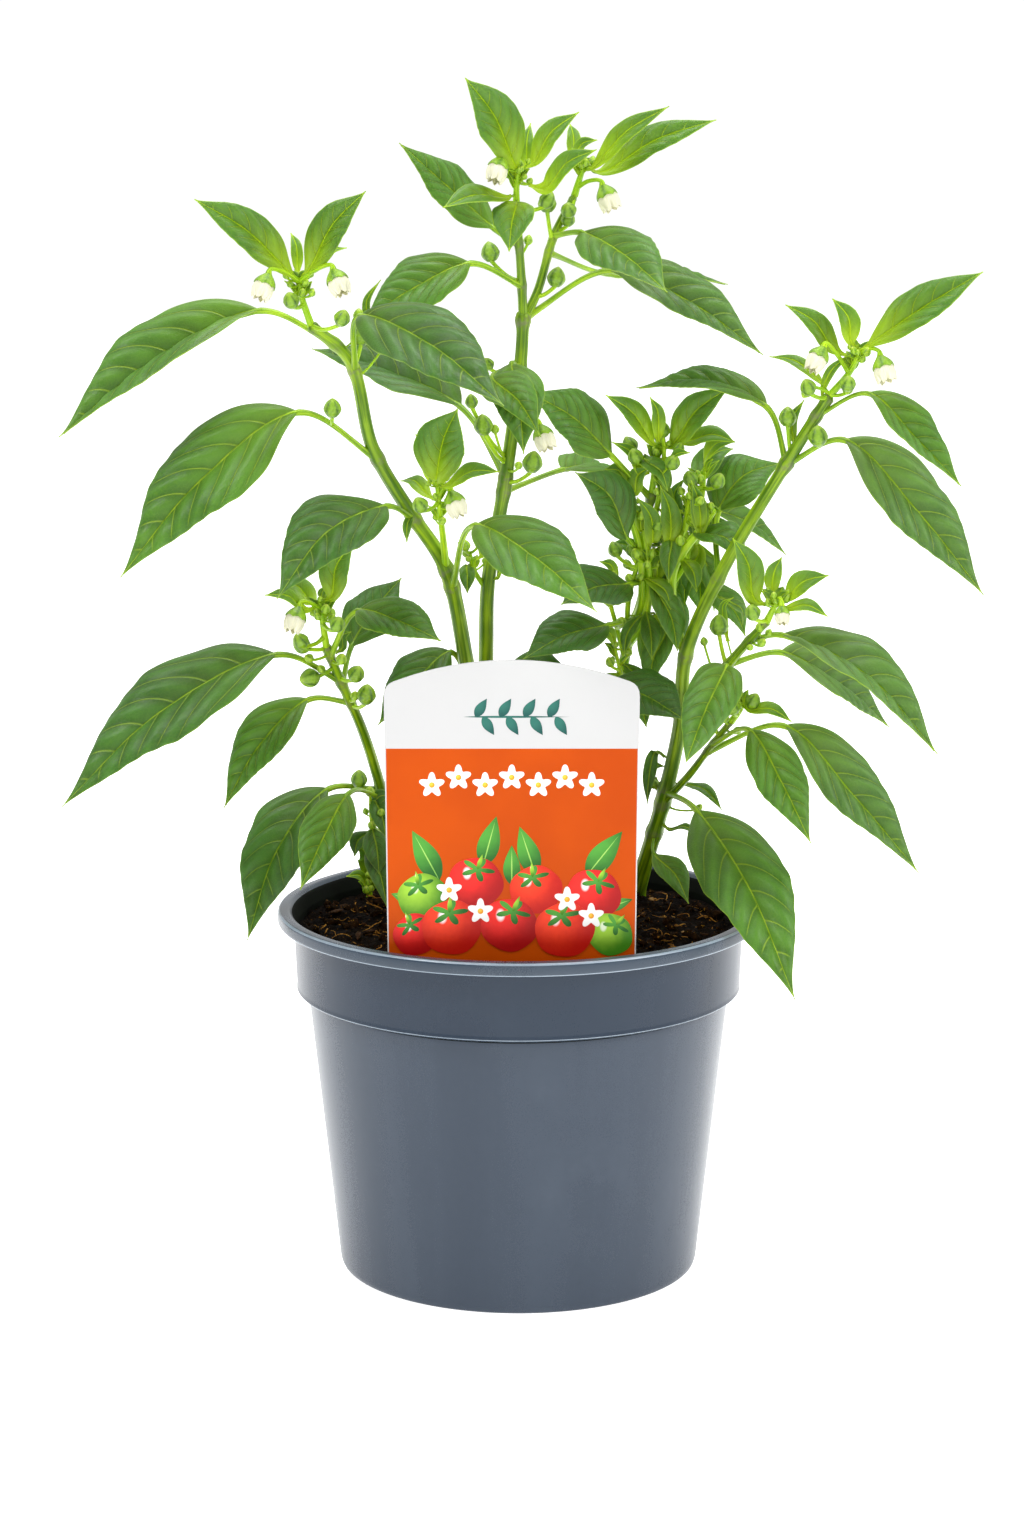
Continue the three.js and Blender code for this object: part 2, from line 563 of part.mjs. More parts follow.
/** A leaf with its stalk: one closed body from the stalk's start to the tip. */
function leaf(start, { base, tip, width, arch = 3, tilt = 45 }, { sides, petioleRows, bladeRows }) {
  const from = vector(base);
  const to = vector(tip);
  const chord = to.clone().sub(from).normalize();
  const outward = chord.clone().setZ(0).multiplyScalar(OUTWARD_SHARE);
  const angle = THREE.MathUtils.degToRad(tilt);
  const facing = up.clone().multiplyScalar(Math.cos(angle))
    .addScaledVector(towardsLabelSide, Math.sin(angle))
    .add(outward);
  const crosswise = chord.clone().cross(facing).normalize();
  const rise = up.clone().add(outward);
  rise.addScaledVector(chord, -rise.dot(chord)).normalize();
  const middle = from.clone().lerp(to, 0.5).addScaledVector(rise, arch);
  const curve = curveThrough([start, from, middle, to]);

  const rows = petioleRows + bladeRows;
  const body = new THREE.CylinderGeometry(0, 1, 1, sides, rows);
  const position = body.attributes.position;
  const stalkRows = petioleRows / rows;
  const edgeX = Math.sin((2 * Math.PI) / sides);
  for (let i = 0; i < position.count; i++) {
    const row = position.getY(i) + 0.5;
    const atTip = row > 1 - TINY;
    const x = atTip ? 0 : position.getX(i) / (1 - row);
    const z = atTip ? 0 : position.getZ(i) / (1 - row);
    const blade = Math.max((row - stalkRows) / (1 - stalkRows), 0);
    const onStalk = STALK_SHARE * Math.min(row / stalkRows, 1);
    const along = onStalk + (1 - STALK_SHARE) * blade;
    const tangent = curve.getTangent(along);
    const side = crosswise.clone().addScaledVector(tangent, -crosswise.dot(tangent)).normalize();
    const face = side.clone().cross(tangent);
    const stalk = PETIOLE_RADIUS * (1 - blade);
    const halfWidth = Math.max((width / 2) * bladeOutline(blade), stalk);
    const halfThickness = Math.max(BLADE.thickness / 2, stalk * (1 - blade * 2));
    const sideways = (x / edgeX) * halfWidth;
    const lift = z * halfThickness + (blade > 0 ? Math.abs(sideways) * BLADE.fold : 0);
    const point = curve.getPoint(along).addScaledVector(side, sideways).addScaledVector(face, lift);
    position.setXYZ(i, point.x, point.y, point.z);
  }
  return solidFrom(body);
}

// ------------------------------------------------------------------------------------------------------------
// Shoots
// ------------------------------------------------------------------------------------------------------------

/** A straight stalk with four sides. */
const stalk = (from, to) => taperedTube(curveThrough([from, to]), [BUD.stalkRadius, BUD.stalkRadius], 4, 1);

/** A round bud on its stalk. */
function bud(from, place) {
  const ball = new THREE.IcosahedronGeometry(BUD.radius, 0).translate(...place.toArray());
  return stalk(from, place).add(solidFrom(ball));
}

/** A nodding bell flower on its stalk. */
function flower(from, place) {
  const bell = new THREE.CylinderGeometry(FLOWER.topRadius, FLOWER.mouthRadius, FLOWER.height, FLOWER.sides)
    .rotateX(Math.PI / 2)
    .translate(place.x, place.y, place.z - FLOWER.height / 2);
  return stalk(from, place).add(solidFrom(bell));
}

/** Centre line of a shoot. */
const shootAxis = ({ parent, axis }, curves) => stemCurve({ parent, points: axis }, curves);

/** A shoot as one body: its axis with the small leaves, buds and flowers that grow on it. */
function shoot(axis, spec) {
  const parts = [taperedTube(axis, SHOOT.radii, SHOOT.sides, axis.points.length)];
  for (const item of spec.leaves) {
    parts.push(leaf(nearestOn(axis, vector(item.base)), item, SMALL_LEAF));
  }
  for (const place of spec.buds) parts.push(bud(nearestOn(axis, vector(place)), vector(place)));
  for (const place of spec.flowers) parts.push(flower(nearestOn(axis, vector(place)), vector(place)));
  return parts.reduce((whole, part) => whole.add(part));
}

// ------------------------------------------------------------------------------------------------------------
// The plant in its pot
// ------------------------------------------------------------------------------------------------------------

const plant = new THREE.Group();

function addMesh(name, solid, material) {
  const mesh = new THREE.Mesh(geometryFrom(solid), material);
  mesh.name = name;
  plant.add(mesh);
}

const curves = {};
const grownStems = [];
const sockets = [label(GAP)];

/** A piece less every stem that it grows on or passes, as one body. */
const clearOfStems = (piece) => largestBody(grownStems.reduce((rest, stem) => rest.subtract(stem), piece));

for (const [name, spec] of Object.entries(STEMS)) {
  const curve = stemCurve(spec, curves);
  const grown = taperedTube(curve, spec.radii, STEM_SIDES, STEM_ROWS, GAP);
  addMesh(name, clearOfStems(taperedTube(curve, spec.radii, STEM_SIDES, STEM_ROWS)), MATERIALS.stem());
  curves[name] = curve;
  grownStems.push(grown);
  if (!spec.parent) sockets.push(grown);
}

for (const [name, spec] of Object.entries(LEAVES)) {
  const start = pointAtHeight(curves[spec.stem], spec.at);
  addMesh(name, clearOfStems(leaf(start, spec, FULL_LEAF)), MATERIALS.leaf());
}

for (const [name, spec] of Object.entries(SHOOTS)) {
  const axis = shootAxis(spec, curves);
  addMesh(name, clearOfStems(shoot(axis, spec)), MATERIALS.shoot());
  if (!spec.parent) sockets.push(taperedTube(axis, SHOOT.radii, SHOOT.sides, axis.points.length, GAP));
}

addMesh('pot', pot(), MATERIALS.pot());
addMesh('label', label(), MATERIALS.label());
addMesh('soil', soil(sockets), MATERIALS.soil());

export default plant;
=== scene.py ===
"""Looks of a potted chilli pepper plant, built over its CAD frame.

Metres, +Z up. The origin is the centre of the pot's underside, and the label faces -Y. Sizes of the plant,
the pot and the label are in millimetres, and MM turns them into metres.
"""

import json
import logging
import math
import random
from collections.abc import Sequence
from dataclasses import dataclass, field
from enum import Enum, IntEnum
from functools import cache

import bpy
import numpy as np
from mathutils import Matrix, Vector, noise

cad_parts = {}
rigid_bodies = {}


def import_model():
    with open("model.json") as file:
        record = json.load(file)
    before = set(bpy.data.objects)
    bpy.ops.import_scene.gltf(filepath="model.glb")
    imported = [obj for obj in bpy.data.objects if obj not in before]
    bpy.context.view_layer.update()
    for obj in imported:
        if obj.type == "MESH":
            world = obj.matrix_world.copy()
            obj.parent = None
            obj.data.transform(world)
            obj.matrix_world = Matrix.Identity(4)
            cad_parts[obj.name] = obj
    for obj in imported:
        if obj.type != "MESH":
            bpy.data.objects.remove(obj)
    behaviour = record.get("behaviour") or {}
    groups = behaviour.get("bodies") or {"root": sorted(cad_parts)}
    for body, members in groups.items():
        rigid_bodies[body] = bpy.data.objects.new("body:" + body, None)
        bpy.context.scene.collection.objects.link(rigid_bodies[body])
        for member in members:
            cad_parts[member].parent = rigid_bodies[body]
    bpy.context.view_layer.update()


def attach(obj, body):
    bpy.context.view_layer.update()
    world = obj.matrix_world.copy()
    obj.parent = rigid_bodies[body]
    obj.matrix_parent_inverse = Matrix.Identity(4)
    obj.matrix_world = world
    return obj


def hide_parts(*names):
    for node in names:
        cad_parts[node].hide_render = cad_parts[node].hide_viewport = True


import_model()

log = logging.getLogger("plant")

Array = np.ndarray
Material = bpy.types.Material
Pair = tuple[float, float]
Place = tuple[float, float, float]
Outline = tuple[Pair, ...]

MM = 0.001
UP = np.array((0.0, 0.0, 1.0))
FRONT = np.array((0.0, -1.0, 0.0))
BACK = np.array((0.0, 1.0, 0.0))
# Slanting directions that no stalk runs along, so that the rings around a stalk don't flip.
STEADY_HIGH = np.array((0.31, 0.17, 0.93))
STEADY_SIDE = np.array((0.31, 0.87, 0.2))


# -------------------- Shader sheets --------------------


def ink(code: str) -> tuple[float, float, float, float]:
    """Reads a screen colour.

    Args:
        code: its six hexadecimal digits.

    Returns:
        The linear colour, with full alpha.
    """
    parts = [int(code[i : i + 2], 16) / 255 for i in (0, 2, 4)]
    linear = [p / 12.92 if p <= 0.04045 else ((p + 0.055) / 1.055) ** 2.4 for p in parts]
    return linear[0], linear[1], linear[2], 1.0


class Flow:
    """A number or a vector on its way through a material's nodes."""

    def __init__(self, sheet: "Sheet", socket: bpy.types.NodeSocket | None) -> None:
        """Keeps the material's sheet and the output that the value comes from, if there is one."""
        self.sheet = sheet
        self.socket = socket

    def __add__(self, other: "Flow | float") -> "Flow":
        """The sum."""
        return self.sheet.maths("ADD", self, other)

    __radd__ = __add__

    def __sub__(self, other: "Flow | float") -> "Flow":
        """The difference."""
        return self.sheet.maths("SUBTRACT", self, other)

    def __rsub__(self, other: float) -> "Flow":
        """The difference from a plain number."""
        return self.sheet.maths("SUBTRACT", other, self)

    def __mul__(self, other: "Flow | float") -> "Flow":
        """The product."""
        return self.sheet.maths("MULTIPLY", self, other)

    __rmul__ = __mul__

    def __truediv__(self, other: "Flow | float") -> "Flow":
        """The quotient."""
        return self.sheet.maths("DIVIDE", self, other)

    def __rtruediv__(self, other: float) -> "Flow":
        """A plain number over the value."""
        return self.sheet.maths("DIVIDE", other, self)

    def __pow__(self, other: "Flow | float") -> "Flow":
        """The power."""
        return self.sheet.maths("POWER", self, other)

    def __rpow__(self, other: float) -> "Flow":
        """A plain number to the power of the value."""
        return self.sheet.maths("POWER", other, self)

    def __abs__(self) -> "Flow":
        """The distance from zero."""
        return self.sheet.maths("ABSOLUTE", self)

    def fraction(self) -> "Flow":
        """What is left over a whole number."""
        return self.sheet.maths("FRACT", self)

    def sine(self) -> "Flow":
        """The sine of an angle in radians."""
        return self.sheet.maths("SINE", self)

    def ramp(self, low: float, high: float) -> "Flow":
        """A soft step, up or down.

        Args:
            low: the value where it is 0.
            high: the value where it is 1, which may be the smaller one.

        Returns:
            The step's height.
        """
        rising = low < high
        sockets = {"Value": self, "From Min": min(low, high), "From Max": max(low, high)}
        sockets |= {"To Min": 0.0 if rising else 1.0, "To Max": 1.0 if rising else 0.0}
        return self.sheet.node("ShaderNodeMapRange", {"interpolation_type": "SMOOTHSTEP"}, sockets)


class Sheet:
    """The node sheet of one material."""

    def __init__(self, name: str, surround: bool = False) -> None:
        """Starts an empty sheet.

        Args:
            name: the material's name.
            surround: whether it dresses the world and not a piece.
        """
        self.material = (bpy.data.worlds if surround else bpy.data.materials).new(name)
        self.material.use_nodes = True
        self.tree = self.material.node_tree
        self.tree.nodes.clear()

    def node(
        self, kind: str, settings: dict[str, object] | None = None,
        sockets: dict[str | int, object] | None = None, output: str | int = 0,
    ) -> Flow:
        """Adds a node.

        Args:
            kind: the node's type.
            settings: its properties, which are set first.
            sockets: the values or flows of its inputs, by name or number.
            output: the output that is wanted.

        Returns:
            The flow from that output.
        """
        made = self.tree.nodes.new(kind)
        for name, value in (settings or {}).items():
            setattr(made, name, value)
        for name, value in (sockets or {}).items():
            if isinstance(value, Flow):
                self.tree.links.new(value.socket, made.inputs[name])
            else:
                made.inputs[name].default_value = value
        return Flow(self, made.outputs[output] if made.outputs else None)

    def maths(self, operation: str, *values: "Flow | float") -> Flow:
        """A Math node on one or two values."""
        return self.node("ShaderNodeMath", {"operation": operation}, dict(enumerate(values)))

    def blend(self, share: "Flow | float", below: "Flow | str", above: "Flow | str") -> Flow:
        """Mixes two colours, each of them a flow or a screen colour, with a share of the one above."""
        below, above = (ink(side) if isinstance(side, str) else side for side in (below, above))
        return self.node("ShaderNodeMix", {"data_type": "RGBA"}, {0: share, 6: below, 7: above}, 2)

    def join(self, x: "Flow | float", y: "Flow | float", z: "Flow | float" = 0.0) -> Flow:
        """The vector of three coordinates."""
        return self.node("ShaderNodeCombineXYZ", sockets={0: x, 1: y, 2: z})

    def split(self, vector: Flow, wanted: Sequence[int] = (0, 1, 2)) -> list[Flow]:
        """The wanted coordinates of a vector."""
        return [self.node("ShaderNodeSeparateXYZ", sockets={0: vector}, output=i) for i in wanted]

    def spot(self) -> Flow:
        """Where a point is in the part's frame."""
        return self.node("ShaderNodeTexCoord", output="Object")

    def values(self, name: str) -> list[Flow]:
        """The two numbers that a mesh carries at its face corners under a name."""
        return self.split(self.node("ShaderNodeUVMap", {"uv_map": name}), (0, 1))

    def cloud(self, scale: float, detail: float = 2.0, where: Flow | None = None) -> Flow:
        """A soft noise, about 0.5 on average, with lumps of 1 over scale and a number of finer layers."""
        sockets = {"Vector": where or self.spot(), "Scale": scale, "Detail": detail}
        return self.node("ShaderNodeTexNoise", sockets=sockets)

    def cells(self, scale: float) -> Flow:
        """The distance to the nearest border in a pattern of irregular cells."""
        settings = {"feature": "DISTANCE_TO_EDGE"}
        return self.node("ShaderNodeTexVoronoi", settings, {"Vector": self.spot(), "Scale": scale})

    def relief(self, height: Flow, depth: float) -> Flow:
        """A bump of a height from 0 to 1 whose full depth is in metres."""
        return self.node("ShaderNodeBump", sockets={"Height": height, "Distance": depth}, output="Normal")

    def finish(self, through: tuple[float, str] | None = None, **sockets: object) -> Material:
        """Ends the sheet with a Principled shader.

        Args:
            through: the share and the screen colour of light that comes through a thin blade, if any does.
            sockets: the Principled shader's inputs, with _ for the spaces in their names.

        Returns:
            The finished material.
        """
        named = {name.replace("_", " "): value for name, value in sockets.items()}
        surface = self.node("ShaderNodeBsdfPrincipled", sockets=named)
        if through:
            lit = self.node("ShaderNodeBsdfTranslucent", sockets={"Color": ink(through[1])})
            surface = self.node("ShaderNodeMixShader", sockets={0: through[0], 1: surface, 2: lit})
        self.node("ShaderNodeOutputMaterial", sockets={"Surface": surface})
        return self.material


# -------------------- Finishes --------------------


@dataclass(frozen=True)
class Finish:
    """What a surface is dressed in."""

    name: str

    def dress(self) -> Material:
        """Mixes the material, which each kind of finish does in its own way."""
        raise NotImplementedError


@cache
def paint(finish: Finish) -> Material:
    """The material of a finish, mixed once, so that pieces share it."""
    return finish.dress()


@dataclass(frozen=True)
class BladeFinish(Finish):
    """One face of a leaf's blade, with its veins where the mesh says that they run."""

    deep: str
    pale: str
    vein: str
    edge: str
    rough: float = 0.40
    vein_share: float = 0.5
    net_share: float = 0.07
    sunk: float = 1.0
    through: float = 0.2
    lit: str = "8fbf2a"
    glow: float = 0.0
    tip: str = "46762c"

    def dress(self) -> Material:
        """Mixes the blade's green from its veins, its age, its light patches and painted light and shade.

        Returns:
            The finished material.
        """
        sheet = Sheet(self.name)
        phase, across = sheet.values("detail")
        inset, along = sheet.values("place")
        across = abs(across)
        midrib_half = 0.72 - 0.45 * along
        midrib = (across / midrib_half).ramp(1.0, 0.35)
        off_vein = abs((phase + 0.5).fraction() - 0.5)
        inner = inset.ramp(0.3, 4.0)
        lateral = off_vein.ramp(0.05, 0.008) * inner
        # Painted shade: a band just beside each lateral vein, where the blade sinks.
        beside = off_vein.ramp(0.28, 0.03) * inner
        net = sheet.cells(620.0).ramp(0.10, 0.02)
        patches = sheet.cloud(32.0, 3.0).ramp(0.32, 0.7)
        blotches = sheet.cloud(150.0, 2.0).ramp(0.3, 0.7)
        # Painted light and shade: the green is lighter towards the middle between two veins, where the
        # quilted blade bulges, and darker beside each vein.
        tone = (patches * 0.45 + blotches * 0.2 + off_vein * 0.9 - beside * 0.2).ramp(0.05, 0.95)
        colour = sheet.blend(tone, self.deep, self.pale)
        young = (along.ramp(0.55, 0.0) * 0.75 + (across * 0.12).ramp(1.0, 0.0) * 0.35) * self.glow
        colour = sheet.blend(young, colour, self.vein)
        colour = sheet.blend(along.ramp(0.25, 0.8) * self.glow * 1.1, colour, self.tip)
        colour = sheet.blend(net * self.net_share, colour, self.vein)
        colour = sheet.blend(lateral * self.vein_share, colour, self.vein)
        colour = sheet.blend(midrib * 0.95, colour, self.vein)
        colour = sheet.blend(inset.ramp(0.42, 0.08) * 0.7, colour, self.edge)
        grain = sheet.cloud(1100.0, 3.0)
        cut = (lateral * 0.25 + midrib * 0.2) * along.ramp(0.9, 0.6)
        height = 0.5 - self.sunk * (cut + 0.035 * net) + 0.16 * grain
        return sheet.finish(
            (self.through, self.lit),
            Base_Color=colour,
            Roughness=grain * 0.16 + (self.rough - 0.08) + midrib * 0.05,
            Specular_IOR_Level=0.36,
            Normal=sheet.relief(height, 0.9 * MM),
        )


# How far red, green and blue light spread in green flesh, as shares of the most.
GREEN_FLESH = (0.6, 1.0, 0.3)


@dataclass(frozen=True)
class StalkFinish(Finish):
    """The skin of a stem, leaf stalk or shoot: green with light streaks along it and dusky joints."""

    deep: str
    pale: str
    joint: str = "6f6b55"
    rough: float = 0.36

    def dress(self) -> Material:
        """Mixes the skin's streaks, ribs and joints.

        Returns:
            The finished material.
        """
        sheet = Sheet(self.name)
        turn, along = sheet.values("detail")
        joint = sheet.values("place")[0]
        streak = sheet.cloud(1.4, 2.0, sheet.join(turn * 9.0, along * 0.02)).ramp(0.38, 0.66)
        rib = (turn * (10 * math.pi)).sine() * 0.5 + 0.5
        patches = sheet.cloud(60.0, 2.0).ramp(0.3, 0.7)
        tone = (streak * 0.4 + rib * 0.14 + patches * 0.3).ramp(0.05, 0.85)
        colour = sheet.blend(tone, self.deep, self.pale)
        stain = joint * sheet.cloud(420.0, 2.0).ramp(0.38, 0.62)
        colour = sheet.blend(stain * 0.6, colour, self.joint)
        grain = sheet.cloud(1300.0, 2.0)
        height = streak * 0.3 + grain * 0.2 + rib * 0.15
        return sheet.finish(
            Base_Color=colour,
            Roughness=grain * 0.12 + (self.rough - 0.06),
            Specular_IOR_Level=0.28,
            Normal=sheet.relief(height, 0.3 * MM),
            Subsurface_Weight=0.1,
            Subsurface_Radius=GREEN_FLESH,
            Subsurface_Scale=1.2 * MM,
        )


@dataclass(frozen=True)
class BudFinish(Finish):
    """The skin of a green bud or of a flower's green cup, lighter along its ribs."""

    deep: str
    pale: str
    tip: str

    def dress(self) -> Material:
        """Mixes the skin's ribs, flecks and tip.

        Returns:
            The finished material.
        """
        sheet = Sheet(self.name)
        turn, along = sheet.values("detail")
        rib = abs((turn * (5 * math.pi)).sine()) ** 0.7
        fleck = sheet.cloud(800.0, 3.0).ramp(0.3, 0.7)
        tone = (rib * 0.6 + fleck * 0.3 + along * 0.15).ramp(0.15, 0.95)
        colour = sheet.blend(tone, self.deep, self.pale)
        colour = sheet.blend(along.ramp(0.78, 1.0) * 0.8, colour, self.tip)
        return sheet.finish(
            Base_Color=colour,
            Roughness=fleck * 0.12 + 0.36,
            Normal=sheet.relief(fleck * 0.4 + rib * 0.3, 0.3 * MM),
            Subsurface_Weight=0.15,
            Subsurface_Radius=GREEN_FLESH,
            Subsurface_Scale=1.5 * MM,
        )


@dataclass(frozen=True)
class PetalFinish(Finish):
    """A creamy white petal, greener where it leaves the cup, with fine lines along it."""

    name: str = "petal"
    cream: str = "f7f5e4"
    shade: str = "e6e4bc"
    throat: str = "c9cf7c"
    lit: str = "f4f2cf"

    def dress(self) -> Material:
        """Mixes the petal's lines and its green throat.

        Returns:
            The finished material.
        """
        sheet = Sheet(self.name)
        turn, along = sheet.values("detail")
        line = sheet.cloud(1.0, 2.0, sheet.join(turn * 60.0, along * 1.5)).ramp(0.35, 0.65)
        colour = sheet.blend(line * 0.6, self.cream, self.shade)
        colour = sheet.blend(along.ramp(0.45, 0.0) * 0.8, colour, self.throat)
        return sheet.finish(
            (0.3, self.lit),
            Base_Color=colour,
            Roughness=line * 0.15 + 0.42,
            Normal=sheet.relief(line, 0.12 * MM),
        )


@dataclass(frozen=True)
class PotFinish(Finish):
    """Slate grey moulded plastic with a satin skin, flow marks and dust, and painted shade on its collar if
    it has one.
    """

    name: str = "pot_plastic"
    slate: str = "323c49"
    light: str = "3e4855"
    dust: str = "66707c"
    rough: float = 0.2
    gloss: float = 0.25
    # Painted shade: above 120 mm the collar is blended towards this darker blue, standing in for the darker
    # reflection that it shows.
    painted_collar_shade: str = "0f2133"

    def dress(self) -> Material:
        """Mixes the plastic's flow marks, dust and grain.

        Returns:
            The finished material.
        """
        sheet = Sheet(self.name)
        x, y, z = sheet.split(sheet.spot())
        flow = sheet.cloud(1.0, 4.0, sheet.join(x * 26.0, y * 26.0, z * 2.5)).ramp(0.3, 0.7)
        fine = sheet.cloud(260.0, 4.0)
        scuff = sheet.cloud(14.0, 6.0).ramp(0.55, 0.8)
        colour = sheet.blend(flow * 0.6 + fine * 0.2, self.slate, self.light)
        colour = sheet.blend(scuff * fine * 0.25, colour, self.dust)
        # Painted shade on the collar, blended in from 120 to 124 mm up.
        if self.painted_collar_shade:
            colour = sheet.blend(z.ramp(120 * MM, 124 * MM) * 0.6, colour, self.painted_collar_shade)
        grain = sheet.cloud(2200.0, 2.0)
        return sheet.finish(
            Base_Color=colour,
            Roughness=flow * 0.06 + grain * 0.08 + self.rough + scuff * 0.08,
            Specular_IOR_Level=self.gloss,
            Normal=sheet.relief(grain * 0.3 + flow * 0.7, 0.10 * MM),
        )


@dataclass(frozen=True)
class SoilFinish(Finish):
    """Damp potting mix: nearly black crumbs with brown and ochre bits."""

    dark: str
    brown: str
    ochre: str
    rough: float = 0.9

    def dress(self) -> Material:
        """Mixes the crumbs, lumps and bits.

        Returns:
            The finished material.
        """
        sheet = Sheet(self.name)
        crumbs = sheet.cloud(420.0, 5.0).ramp(0.3, 0.72)
        lumps = sheet.cloud(95.0, 3.0).ramp(0.35, 0.7)
        bits = sheet.cloud(760.0, 2.0).ramp(0.64, 0.74)
        colour = sheet.blend(crumbs * 0.6 + lumps * 0.35, self.dark, self.brown)
        colour = sheet.blend(bits * 0.55, colour, self.ochre)
        return sheet.finish(
            Base_Color=colour,
            Roughness=self.rough - crumbs * 0.2,
            Specular_IOR_Level=0.04,
            Normal=sheet.relief(crumbs * 0.7 + sheet.cloud(1500.0, 3.0) * 0.4, 1.2 * MM),
        )


@dataclass(frozen=True)
class CardFinish(Finish):
    """The label's printed plastic card: a white head over an orange field, with a thin white border."""

    name: str = "label_card"
    white: str = "c1c1c1"
    orange: str = "bf4a00"
    deep_orange: str = "b44200"
    band_z: float = 243.7 * MM
    middle_x: float = -2.9 * MM
    field_half: float = 51.9 * MM
    taper: float = 0.0085
    blur: float = 0.1 * MM

    def dress(self) -> Material:
        """Prints the head and the field.

        Returns:
            The finished material.
        """
        sheet = Sheet(self.name)
        x, _, z = sheet.split(sheet.spot())
        side = abs(x - self.middle_x) + (self.band_z - z) * self.taper
        inside = side.ramp(self.field_half + self.blur, self.field_half - self.blur)
        below = z.ramp(self.band_z + self.blur, self.band_z - self.blur)
        cloud = sheet.cloud(22.0, 3.0).ramp(0.3, 0.7)
        field_colour = sheet.blend(cloud, self.orange, self.deep_orange)
        colour = sheet.blend(inside * below, self.white, field_colour)
        grain = sheet.cloud(1600.0, 2.0)
        return sheet.finish(
            Base_Color=colour,
            Roughness=grain * 0.1 + 0.3,
            Specular_IOR_Level=0.1,
            Normal=sheet.relief(grain, 0.03 * MM),
        )


@dataclass(frozen=True)
class PrintFinish(Finish):
    """One colour of the label's printed design, drawn as a rounded body that is lit from the upper left."""

    deep: str
    pale: str
    shine: float = 0.0
    light_left: float = 0.3
    light_over: float = 0.35

    def dress(self) -> Material:
        """Mixes the drawn light and shade, and a glint where the body shines.

        Returns:
            The finished material.
        """
        sheet = Sheet(self.name)
        right, over = sheet.values("detail")
        speck = sheet.cloud(420.0, 2.0)
        off_left, off_top = right + self.light_left, over - self.light_over
        off_light = (off_left * off_left + off_top * off_top) ** 0.5
        tone = (off_light + speck * 0.25 - 0.12).ramp(1.25, 0.15)
        colour = sheet.blend(tone, self.deep, self.pale)
        if self.shine:
            glint = (off_left * off_left * 2.2 + off_top * off_top).ramp(0.07, 0.01)
            colour = sheet.blend(glint * self.shine, colour, "ffffff")
        return sheet.finish(Base_Color=colour, Roughness=speck * 0.1 + 0.28, Specular_IOR_Level=0.2)


@dataclass(frozen=True)
class FloorFinish(Finish):
    """A plain white studio floor with the faintest grain."""

    name: str = "studio_floor"
    white: str = "ffffff"
    shade: str = "fdfdfd"

    def dress(self) -> Material:
        """Mixes the floor's white.

        Returns:
            The finished material.
        """
        sheet = Sheet(self.name)
        grain = sheet.cloud(60.0, 3.0)
        return sheet.finish(
            Base_Color=sheet.blend(grain * 0.5, self.white, self.shade),
            Roughness=grain * 0.1 + 0.75,
            Emission_Color=(1.0, 1.0, 1.0, 1.0),
            Emission_Strength=0.7,
        )


class Tone(Enum):
    """How old a leaf is, which sets its colours, or for SHEENED a grown leaf with painted sheen."""

    OLD = "old"
    GROWN = "grown"
    BRIGHT = "bright"
    SHEENED = "sheened"
    YOUNG = "young"


OLD, GROWN, BRIGHT, SHEENED, YOUNG = Tone

UPPER = {
    OLD: BladeFinish("leaf_old_upper", "2d5016", "427126", "9cba34", "86a632", glow=0.1),
    GROWN: BladeFinish("leaf_grown_upper", "386216", "548528", "a8c52e", "93b32c", glow=0.15),
    BRIGHT: BladeFinish("leaf_bright_upper", "366107", "528214", "b4d21e", "a2c424", lit="a0d21c", glow=0.6),
    # Painted sheen: a grown leaf's colours made paler and bluer, standing in for a whitish reflection of the
    # lamps.
    SHEENED: BladeFinish("leaf_sheened_upper", "41632c", "5e873b", "a8c52e", "93b32c", glow=0.15),
    YOUNG: BladeFinish(
        "leaf_young_upper", "487706", "68980f", "c4e02a", "b2d228",
        through=0.26, lit="b8e01c", glow=0.8,
    ),
}
UNDER = {
    OLD: BladeFinish("leaf_old_under", "53742a", "688a38", "a6bf50", "90aa40", 0.6, 0.6, 0.2, -1.0),
    GROWN: BladeFinish(
        "leaf_grown_under", "5a8028", "709638", "b0c84e", "9ab83c",
        0.6, 0.6, 0.2, -1.0, lit="9ac826", glow=0.2,
    ),
    BRIGHT: BladeFinish(
        "leaf_bright_under", "6a961c", "86ac2e", "c2d848", "accb36",
        0.58, 0.6, 0.2, -1.0, lit="a8d622", glow=0.5,
    ),
    YOUNG: BladeFinish(
        "leaf_young_under", "84aa12", "a0c228", "d2e44c", "bcd836",
        0.56, 0.6, 0.2, -1.0, 0.26, "bce224", 0.6,
    ),
}
STALKS = {
    OLD: StalkFinish("stalk_old", "56800a", "9abc26"),
    GROWN: StalkFinish("stalk_grown", "618c08", "a4c626"),
    BRIGHT: StalkFinish("stalk_bright", "6e9c06", "b2d222"),
    YOUNG: StalkFinish("stalk_young", "7cac04", "bada22"),
}
UNDER[SHEENED] = UNDER[GROWN]
STALKS[SHEENED] = STALKS[GROWN]

GREEN_BUD = BudFinish("bud_green", "3a6206", "7fa61c", "9cb83a")
GREEN_CUP = BudFinish("cup_green", "4f7a08", "86ad1c", "a4c132")
TENDER_BUD = BudFinish("bud_tender", "5f8a0a", "9cc024", "c2d448")


# -------------------- Lines and skins --------------------


def unit(rows: Array) -> Array:
    """Rows of vectors, each made one long."""
    return rows / np.maximum(np.linalg.norm(rows, axis=-1, keepdims=True), 1e-12)


def smooth_step(share: Array) -> Array:
    """A soft rise from 0 at 0 to 1 at 1."""
    held = np.clip(share, 0.0, 1.0)
    return held * held * (3 - 2 * held)


def turns(count: int) -> Array:
    """Angles in even steps once around, in radians."""
    return 2 * np.pi * np.arange(count) / count


